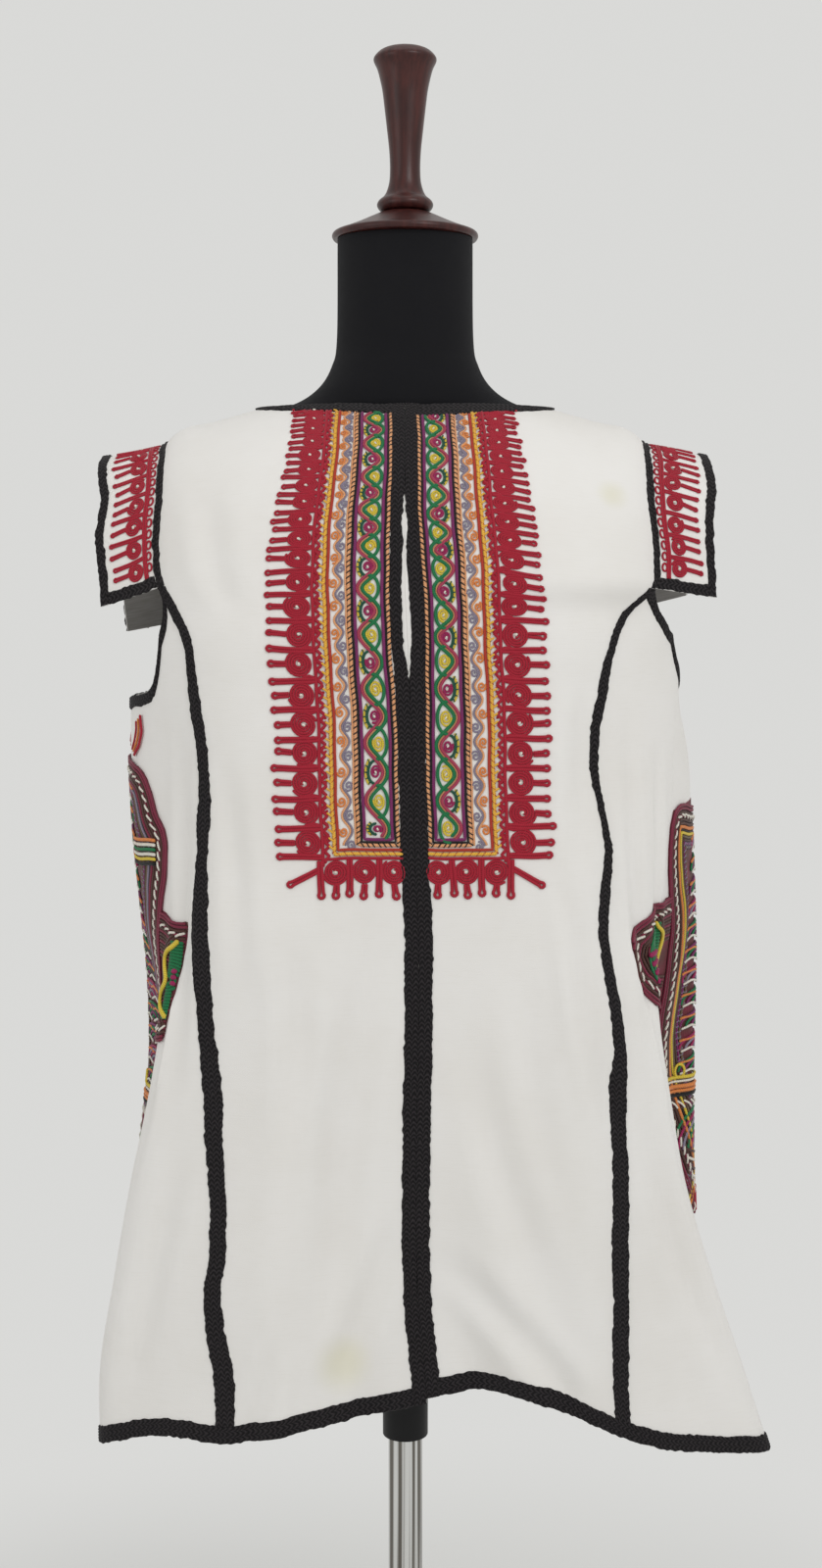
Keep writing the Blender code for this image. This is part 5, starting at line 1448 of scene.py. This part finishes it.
def makeYoke(half):
    look = yokeLook
    measured = clothMeasure(half, 0.0, yokeHeight)

    def uvAt(points):
        x, h = points[:, 0], points[:, 1]
        share = np.clip((h - 0.20) / 0.18, 0, 1)
        x = x * (1 - look["narrower"] * share * share * (3 - 2 * share))
        # the inner lines stand off where the slit opens
        return measured(x + partedAt(half, h) * np.clip(1 - (x - 0.012) / 0.05, 0, 1), h)

    def place(points, lift):
        u, v = uvAt(points)
        return coatPoint(half, u, v, coatShape["cloth"] + lift)

    def keep(points):
        u, v = uvAt(points)
        return v > stepDown(half, u, necklineV(half, u, False), neckWidth(half, u) - 0.001)

    makeCords(f"yoke_embroidery_{sideWord[half]}", yokePlan(half), place, keep, seed=half * 1.3)


# Sleeve bands: one row of rosettes along the band; millimetres out from the armhole and along from the top
sleeveLook = {"pitch": 19.0, "rosette": 8.9}


def makeSleeveEmbroidery(half):
    look = sleeveLook
    steps = np.linspace(-1, 1, 300)
    middle = sleevePoint(half, np.full(300, 0.4), steps)
    metres = alongPath(middle)
    metres -= np.interp(0, steps, metres)
    plan, pitch = Plan(31 + half), look["pitch"]
    low, high = metres[0] * 1000 + 9.5, metres[-1] * 1000 - 9.5
    for x in (11.2, 13.4):
        plan.cord([(x, low), (x, high)], 2.2, "crimson")
    for y in np.arange(low + 9.0, high - 8.0, pitch):
        centre = np.array([22.8 + plan.vary(0.5), y + plan.vary(0.6)])
        plan.rosette(centre, look["rosette"], "crimson", 2.0)
        droop = 2.2 if y < 0 else -2.2
        tip = (45.5 + plan.vary(1.5), y - droop + plan.vary(1))
        plan.finger(centre + [look["rosette"] - 1.2, 0], tip, 0.9, 1.5, 2.2, "crimson")
        gap = y + pitch / 2
        tip = (46.0 + plan.vary(1.5), gap - droop + plan.vary(1))
        plan.finger((14.5, gap), tip, 0.9, 1.5, 2.2, "crimson")
        for k in (0.0, 0.5):
            plan.arc((8.2, y + k * pitch), 2.3, 0, 345, 1.9, "crimson", 1.5)
    length = sleeveShape["width"]

    def place(points, lift):
        along = np.interp(points[:, 1], metres, steps)
        return sleevePlace(half, points[:, 0] / length, along, coatShape["cloth"] + lift)

    makeCords(f"sleeve_embroidery_{sideWord[half]}", plan, place, seed=2.0 + half)


# Side motif: a tall column with a lobe on both sides, from under the arm nearly to the hem. Outlines are
# millimetres in front of the side line and above the lower tip; behind the line they are mirrored
sideLook = {
    "height": 0.700,
    "shift": {right: (0, 0), left: (34, -8)},  # of the left plan, out and up
    "column": {
        right: [
            (0, 361), (25, 364), (41, 369), (56, 372), (68, 368), (75, 355), (77, 338), (76, 315), (71, 292),
        ],
        left: [
            (0, 417), (26, 416), (42, 411), (50, 404), (58, 391), (64, 375), (74, 364), (79, 352), (77, 322),
            (71, 296),
        ],
    },
    "foot": [
        (65, 274), (60, 254), (57, 230), (57, 208), (61, 186), (62, 162), (57, 132), (47, 100), (34, 64),
        (20, 32), (9, 12), (3, 3), (0, 0),
    ],
    "lobe": [
        (68, 293), (96, 290), (122, 286), (141, 277), (150, 258), (147, 234), (134, 212), (112, 197),
        (88, 189), (64, 186),
    ],
}


def sideOutlines(half):
    return np.array(sideLook["column"][half] + sideLook["foot"], float), np.array(sideLook["lobe"], float)


# The path moved sideways, without the points that would come too near the path itself
def insetPath(path, distance):
    path = np.asarray(path, float)
    metres = alongPath(path)
    at = np.linspace(0, metres[-1], int(metres[-1] / 2.5) + 2)
    fine = pathAt(path, metres, at)
    for _ in range(3):
        fine[1:-1] = (fine[:-2] + 2 * fine[1:-1] + fine[2:]) / 4
    moved = besidePath(fine, distance)
    near = np.linalg.norm(moved[:, None] - fine[None, :], axis=2).min(axis=1)
    return moved[near > abs(distance) * 0.96 - 0.05]


# Short pale stitches along a path, each a little slanted, over rows of brown cord
def dashRow(plan, path, pitch=8.6, slant=0.42):
    for distance in (-3.0, 0.0, 3.0):
        plan.cord(besidePath(path, distance), 3.1, "brown" if distance else "maroon", 2.2)
    metres = alongPath(path)
    for at in np.arange(pitch * 0.6, metres[-1] - 2, pitch):
        here, onward, aside = standAt(path, metres, at, 1.0)
        reach = onward * (3.5 + plan.vary(0.5)) + aside * 3.5 * slant
        plan.cord([here - reach, here + aside * 0.6, here + reach], 2.3, "cream", 1.8, [1.0, 2.0, 1.0])


def sidePlan(half, turn):
    plan = Plan(61 + half + 3 * turn)
    column, lobe = sideOutlines(half)
    for distance in (-1.4, -4.2):
        for outline in (column, lobe):
            plan.cord(insetPath(outline, distance), 3.0, "maroon", 2.6, 0.4)
    dashRow(plan, insetPath(column, -10.6))
    rows = (
        (-16.6, 3.0, "brown"), (-19.6, 3.4, "orange"), (-22.2, 1.8, "black"),
        (-24.6, 3.0, "yellow"), (-27.4, 2.6, "olive"), (-30.0, 2.6, "brown"),
    )
    quiet = {"orange": "maroon", "yellow": "grey"} if half == left else {}
    for distance, width, dye in rows:
        plan.cord(insetPath(column, distance), width, quiet.get(dye, dye), 2.6, 0.3)
    for distance, dye in ((-32.8, "plum"), (-35.8, "olive")):
        plan.rope(insetPath(column, distance), 2.9, dye, "grey", 5.0, tick=1.3)
    # the lobe: pale stitches, a winding yellow cord, a green field with a red leaf
    for k, distance in enumerate(np.arange(-16.0, -38.0, -2.9)):
        plan.cord(insetPath(lobe, distance), 3.0, "brown" if k % 3 else "maroon", 2.2)
    dashRow(plan, insetPath(lobe, -10.6))
    middle = np.array([86.0, 242.0])
    for k in range(12):
        plan.arc(middle + [4, 0], 4.0 + 3.0 * k, -90, 90, 3.2, "green", 0.85, 2.6, 1.0)
    for y in (-12, -4, 4, 12):
        vein = [middle + [9, y * 0.6], middle + [26, y * 0.9], middle + [40, y]]
        plan.cord(vein, 4.6, "magenta", 2.6, [1.8, 2.4, 2.0])
    steps = np.linspace(-32, 32, 44)
    swing = 4.0 * np.cos(steps / 5.6) + (steps / 11.0) ** 2
    winding = np.stack([middle[0] - 1 + swing, middle[1] + steps], 1)
    plan.cord(winding, 4.6, "yellow", 2.2, 2.0)
    for distance in (4.4, 7.4):
        plan.cord(besidePath(winding, distance), 2.8, "brown", 2.6, 0.8)
    # the column's heart: leaves by turns in plum, green and grey
    for k, y in enumerate(np.arange(132, column[0, 1] - 30, 19.5)):
        dye, other = (("plum", "green"), ("grey", "magenta"), ("green", "plum"))[k % 3]
        wide = 26 if y < 300 else 24
        for j in range(5):
            plan.arc((0, y), wide - 5.5 * j, 0, 90, 3.0, dye if j % 2 else other, 0.50, 2.6, 0.3)
        plan.cord([(4, y - 2), (wide * 0.6, y + 1.5), (wide * 0.95, y - 2)], 2.2, "cream", 2.6, 1.4)
        plan.cord([(3, y + 8), (wide * 0.5, y + 10), (wide, y + 7)], 2.6, "orange", 2.6, 0.8)
    # on the left, a block of bars near the top and a small leaf above the column
    if half == left:
        for k, dye in enumerate(("orange", "cream", "green", "cream", "yellow", "black")):
            y = 353 - 4 * k
            plan.cord([(30, y), (46, y - 1), (64, y)], 3.4, dye, 2.6, 2.0)
        plan.cord([(30, 422), (39, 430), (44, 442), (42, 455)], 3.2, "crimson", 2.6, 0.4)
        plan.cord([(28, 425), (35, 433), (39, 443), (38, 452)], 2.8, "orange", 2.6, 0.4)
        plan.cord([(24, 426), (30, 434), (34, 443), (34, 450)], 2.6, "crimson", 2.6, 0.4)
    # bars across the foot with a yellow loop over them, then a leaf above the tip
    bars = (
        (127, 3.4, "yellow"), (123.4, 2.4, "cream"), (119.0, 4.0, "orange"), (115.0, 3.4, "orange"),
        (111.4, 3.4, "black"),
    )
    for y, width, dye in bars:
        plan.cord([(0, y), (42 + (y - 110) * 0.4, y + 1)], width, dye, 2.6, 1.4)
    plan.arc((26, 133), 4.6, -70, 250, 3.0, "yellow", 1.3, 2.6, 1.6)
    dashRow(plan, np.array([(1.0, 102.5), (48.0, 104.0)]), 6.5, 0.9)
    for k in range(6):
        dye = ("green", "magenta", "grey")[k % 3]
        plan.arc((0, 62), 32 - 4.8 * k, 2, 90, 3.3, dye, 1.15, 2.4, 0.4)
    for y in (56, 48, 40, 32):
        plan.cord([(0.5, y), (y * 0.36, y + 7)], 3.0, "brown" if y % 16 else "cream", 2.0, 1.0)
    plan.cord([(0.6, 26), (1.0, 4)], 3.6, "crimson", 2.6, 1.0)
    plan.cord([(4.6, 26), (2.0, 6)], 3.2, "crimson", 2.6, 0.6)
    return plan


# The motif's ground: a low slab under the cords, as wide as the outline at each height
def makeSideGround(half, place, lapAt):
    column, lobe = sideOutlines(half)
    y = np.linspace(1.0, column[:, 1].max() - 4.0, 84)
    widest = int(np.argmax(column[:, 1]))
    wide = np.interp(y, column[:widest:-1, 1], column[:widest:-1, 0])
    inLobe = (y > 187) & (y < 293)
    wide = np.where(inLobe, np.maximum(wide, np.interp(y, lobe[::-1, 1], lobe[::-1, 0])), wide) - 0.6
    reach = np.linspace(0, 170, 171)
    past = lapAt(np.tile(reach, len(y)), np.repeat(y, len(reach))).reshape(len(y), -1)
    lap = np.array([np.interp(0, row, reach) for row in past])
    across = np.linspace(-1, 1, 40)
    x = np.where(across > 0, np.minimum(wide, lap)[:, None], wide[:, None]) * across
    flat = handSway(np.stack([x, y[:, None] + 0 * across], -1).reshape(-1, 2), 0.0) / 1000
    top, outward = place(flat, np.full(len(flat), 0.0006))
    shade = np.array([colour(dyes["brown"]), colour(dyes["maroon"])])
    blend = (0.5 + 0.5 * np.sin(flat[:, 0] * 260) * np.sin(flat[:, 1] * 190))[:, None]
    dye = shade[0] * (1 - blend) + shade[1] * blend
    grid = top.reshape(len(y), len(across), 3)
    under = grid - outward.reshape(grid.shape) * 0.0008
    name = f"side_ground_{sideWord[half]}"
    mesh = wallMesh(name, under, grid, flat.reshape(len(y), len(across), 2))
    layer = mesh.color_attributes.new(name="dye", type="FLOAT_COLOR", domain="POINT")
    rim = np.tile(shade[1], (len(mesh.vertices) - 2 * len(dye), 1))
    layer.data.foreach_set("color", np.concatenate([dye, dye, rim]).astype(np.float32).ravel())
    addPiece(name, mesh, "embroidery")


def makeSideEmbroidery(half):
    look = sideLook
    measured = clothMeasure(half, 4.0, look["height"])
    shiftX, shiftY = look["shift"][half]

    def place(points, lift):
        u, v = measured(-(points[:, 0] + shiftX / 1000), points[:, 1] + shiftY / 1000)
        return coatPoint(half, u, v, coatShape["cloth"] + lift)

    # how far a place of the plan lies in front of the lap's line; below zero it shows
    def lapAt(x, y):
        u, v = measured(-(x + shiftX) / 1000, (y + shiftY) / 1000)
        return lapLine(v) - u

    makeSideGround(half, place, lapAt)
    for turn, word in ((1, "fore"), (-1, "aft")):
        def turned(points, lift, turn=turn):
            return place(points * [turn, 1], lift + 0.0005)

        def keep(points, turn=turn):
            return lapAt(points[:, 0] * 1000 * turn, points[:, 1] * 1000) < 0

        makeCords(f"side_embroidery_{word}_{sideWord[half]}", sidePlan(half, turn), turned, keep, sides=4)


# Dress form: z, half width, depth in front and behind, and how square the ring is
formShape = {
    "rings": [
        (0.7600, 0.1500, 0.0920, 0.0980, 2.2), (0.7750, 0.1630, 0.1030, 0.1100, 2.2),
        (0.8600, 0.1680, 0.1060, 0.1130, 2.2), (0.9400, 0.1530, 0.0990, 0.0960, 2.2),
        (1.0100, 0.1400, 0.0940, 0.0840, 2.2), (1.0900, 0.1470, 0.1010, 0.0880, 2.2),
        (1.1800, 0.1660, 0.1160, 0.1030, 2.2), (1.2500, 0.1820, 0.1190, 0.1100, 2.2),
        (1.3100, 0.1930, 0.1080, 0.1040, 2.2), (1.3450, 0.1960, 0.0930, 0.0920, 2.1),
        (1.3660, 0.1900, 0.0790, 0.0790, 2.0), (1.3785, 0.1785, 0.0660, 0.0680, 1.75),
        (1.3875, 0.1575, 0.0560, 0.0590, 1.50), (1.3965, 0.1235, 0.0490, 0.0550, 1.50),
        (1.4050, 0.0930, 0.0485, 0.0600, 1.75), (1.4180, 0.0735, 0.0480, 0.0630, 2.0),
        (1.4360, 0.0625, 0.0475, 0.0630, 2.0), (1.4600, 0.0580, 0.0470, 0.0625, 2.0),
        (1.5425, 0.0572, 0.0470, 0.0625, 2.0),
    ],
    "levels": 150,
    "sides": 144,
    "knit": 0.9,  # metres of knit round the form
}


# The form's skin: rings that are superellipses, |x/a|^p + |y/b|^p = 1, with their sizes on smooth curves up
# the form; both ends are closed by rings that shrink to a point
def makeFormBody(shape):
    table = np.array(shape["rings"])
    rings = curveThrough(np.arange(len(table)), table, np.linspace(0, len(table) - 1, shape["levels"]))
    z, halfWidth, front, behind, power = rings.T[:, :, None]
    angle = 2 * math.pi * np.arange(shape["sides"])[None, :] / shape["sides"]
    cosine, sine = np.cos(angle), np.sin(angle)
    x = halfWidth * np.sign(cosine) * np.abs(cosine) ** (2 / power)
    depth = np.where(sine > 0, behind, front)
    y = depth * np.sign(sine) * np.abs(sine) ** (2 / power)
    body = np.stack([x, y, z + 0 * x], -1)
    closing = [body[0] * [s, s, 1.0] for s in (0.02, 0.5, 0.9)]
    topping = [body[-1] * [s, s, 1.0] for s in (0.9, 0.5, 0.02)]
    grid = np.concatenate([np.stack(closing), body, np.stack(topping)])
    points, quads, triangles = closedRings(grid, grid[0].mean(0), grid[-1].mean(0))
    around = np.linspace(0, 1, shape["sides"] + 1)
    column = quads[:, 0] % shape["sides"]
    quadAround = np.stack([around[column], around[column + 1]], 1)[:, [0, 1, 1, 0]]
    quadMap = np.stack([quadAround * shape["knit"], points[quads][..., 2]], -1).reshape(-1, 2)
    triangleMap = points[triangles][..., :2].reshape(-1, 2)
    mesh = meshFrom("form_body", points, quads, triangles, np.concatenate([quadMap, triangleMap]))
    addPiece("form_body", mesh, "black_jersey", instead=["form_torso"], sharp=50)


# Turned pieces: a profile of radius and height carried round an upright axis at y. A profile that comes back
# to its start makes a tube, whose last ring is its first; any other is closed at both ends
def turnedMesh(name, profile, sides, y):
    angle = 2 * math.pi * np.arange(sides) / sides
    radius, height = profile[:, :1], profile[:, 1:]
    grid = np.stack([radius * np.cos(angle), radius * np.sin(angle) + y, height + 0 * angle], -1)
    if np.allclose(profile[0], profile[-1]):
        quads = gridQuads(len(grid), sides, wrapped=True) % ((len(grid) - 1) * sides)
        return meshFrom(name, grid[:-1].reshape(-1, 3), quads)
    return meshFrom(name, *closedRings(grid, [0, y, profile[0, 1]], [0, y, profile[-1, 1]]))


# Corners of a profile cut by short arcs: a quadratic curve from one side of each corner to the other
def roundedProfile(corners, radius, steps=5):
    corners = np.asarray(corners, float)
    made = [corners[:1]]
    share = np.linspace(0, 1, steps)[:, None]
    for before, corner, after in zip(corners, corners[1:], corners[2:]):
        reachIn = min(radius, np.linalg.norm(before - corner) * 0.45)
        reachOut = min(radius, np.linalg.norm(after - corner) * 0.45)
        start = corner + (before - corner) / np.linalg.norm(before - corner) * reachIn
        end = corner + (after - corner) / np.linalg.norm(after - corner) * reachOut
        made.append((1 - share) ** 2 * start + 2 * share * (1 - share) * corner + share**2 * end)
    made.append(corners[-1:])
    return np.concatenate(made)


# Stand: profiles of radius and height in metres
standShape = {
    "neckY": 0.008,  # where the cap and the finial stand
    # piece, node, finish, body, how far its corners are rounded, sides, degrees from which an edge is sharp
    "pieces": [
        ("neck_cap", "neck_cap", "dark_wood", "form", 0.0022, 96, 60),
        ("finial", "finial", "dark_wood", "form", 0.0065, 96, 60),
        ("rod", "upper_pole", "chrome", "form", 0.0006, 96, 40),
        ("pole", "lower_pole", "chrome", "stand", 0.0005, 96, 40),
        ("clamp", "pole_clamp", "black_plastic", "stand", 0.0015, 96, 40),
        ("base", "base_plate", "chrome", "stand", 0.0022, 128, 40),
    ],
    "neck_cap": [
        (0.0010, 1.5662), (0.0195, 1.5662), (0.0250, 1.5640), (0.0420, 1.5562), (0.0560, 1.5506),
        (0.0612, 1.5490), (0.0625, 1.5462), (0.0612, 1.5434), (0.0595, 1.5428), (0.0010, 1.5428),
    ],
    "finial": [
        (0.0010, 1.7030), (0.0120, 1.7030), (0.0210, 1.7002), (0.0262, 1.6950), (0.0270, 1.6918),
        (0.0232, 1.6850), (0.0192, 1.6680), (0.0162, 1.6424), (0.0134, 1.6180), (0.0127, 1.6030),
        (0.0133, 1.5904), (0.0170, 1.5800), (0.0225, 1.5762), (0.0243, 1.5725), (0.0228, 1.5690),
        (0.0200, 1.5665), (0.0010, 1.5665),
    ],
    "rod": [(0.0005, 0.7597), (0.0125, 0.7597), (0.0125, 0.2600), (0.0005, 0.2600)],
    "pole": [
        (0.0150, 0.4000), (0.0150, 0.5400), (0.0129, 0.5400), (0.0129, 0.0083), (0.0150, 0.0083),
        (0.0150, 0.4000),
    ],
    "clamp": [
        (0.0200, 0.5300), (0.0200, 0.5600), (0.0129, 0.5600), (0.0129, 0.5403), (0.0153, 0.5403),
        (0.0153, 0.5000), (0.0200, 0.5000), (0.0200, 0.5300),
    ],
    "base": [
        (0.0005, 0.0080), (0.0153, 0.0080), (0.0153, 0.0340), (0.0300, 0.0340), (0.0300, 0.0082),
        (0.1985, 0.0080), (0.2000, 0.0065), (0.2000, 0.0), (0.0005, 0.0),
    ],
}


def makeStand(shape):
    for word, node, slot, body, rounding, sides, sharp in shape["pieces"]:
        y = shape["neckY"] if slot == "dark_wood" else 0.0
        mesh = turnedMesh(f"{word}_turned", roundedProfile(shape[word], rounding), sides, y)
        addPiece(f"{word}_turned", mesh, slot, body, [node], sharp)


makeFormBody(formShape)
makeStand(standShape)
print("form and stand made")

for half in (right, left):
    for name in ("front", "gore_front", "gusset", "gore_back"):
        makePanel(half, name)
    makeSleeve(half)
makeBackPanel()
print("cloth panels made")

for half in (right, left):
    makeSeamBraids(half)
    makeSleeveBraids(half)
makeBackBraids()
print("braids made")

for half in (right, left):
    makeYoke(half)
    makeSleeveEmbroidery(half)
    makeSideEmbroidery(half)
print("embroidery made")


# Studio: a pale floor without a horizon and large soft lights
studio = {
    "ground": "DCDCDA",
    "sky": 0.975,
    "key": {"place": (1.5, -2.3, 2.7), "aim": (0, 0, 1.1), "size": (1.3, 1.3), "power": 27},
    "fill": {"place": (-2.2, -1.8, 1.7), "aim": (0, 0, 1.0), "size": (1.4, 2.0), "power": 9},
    "top": {"place": (0.0, -0.2, 3.6), "aim": (0, 0, 1.0), "size": (1.8, 1.8), "power": 5},
}


def makeLight(name, settings):
    lamp = bpy.data.lights.new(name, "AREA")
    lamp.shape = "RECTANGLE"
    lamp.size, lamp.size_y = settings["size"]
    lamp.energy = settings["power"]
    item = bpy.data.objects.new(name, lamp)
    item.location = settings["place"]
    direction = Vector(settings["aim"]) - item.location
    item.rotation_euler = direction.to_track_quat("-Z", "Y").to_euler()
    bpy.context.scene.collection.objects.link(item)


def makeStudio(settings):
    scene = bpy.context.scene
    scene.view_settings.view_transform = "Standard"
    world = bpy.data.worlds.new("studioSky")
    world.use_nodes = True
    background = world.node_tree.nodes["Background"]
    background.inputs["Color"].default_value = colour(settings["ground"])
    background.inputs["Strength"].default_value = settings["sky"]
    scene.world = world
    radius, sides = 25.0, 96
    angle = 2 * math.pi * np.arange(sides) / sides
    rim = np.stack([radius * np.cos(angle), radius * np.sin(angle), 0 * angle], -1)
    mesh = bpy.data.meshes.new("studioFloor")
    mesh.from_pydata(rim.tolist(), [], [list(range(sides))])
    floor = bpy.data.objects.new("studioFloor", mesh)
    scene.collection.objects.link(floor)
    paint = Paint("studioFloor", Roughness=0.9, Specular_IOR_Level=0.0)
    paint.shader.inputs["Base Color"].default_value = colour(settings["ground"])
    across, away, _ = paint.parts(paint.place())
    far = ((across * across + away * away) ** 0.5).over(0.5, 1.25)
    glow = {"Color": colour(settings["ground"]), "Strength": settings["sky"]}
    sky = paint.node("ShaderNodeEmission", values=glow)
    mixed = paint.node("ShaderNodeMixShader", values=[far, Flow(paint, paint.shader.outputs[0]), sky])
    paint.tree.links.new(mixed.socket, paint.tree.nodes["Material Output"].inputs["Surface"])
    mesh.materials.append(paint.material)
    for name in ("key", "fill", "top"):
        makeLight(f"{name}Light", settings[name])


makeStudio(studio)
print("studio made")
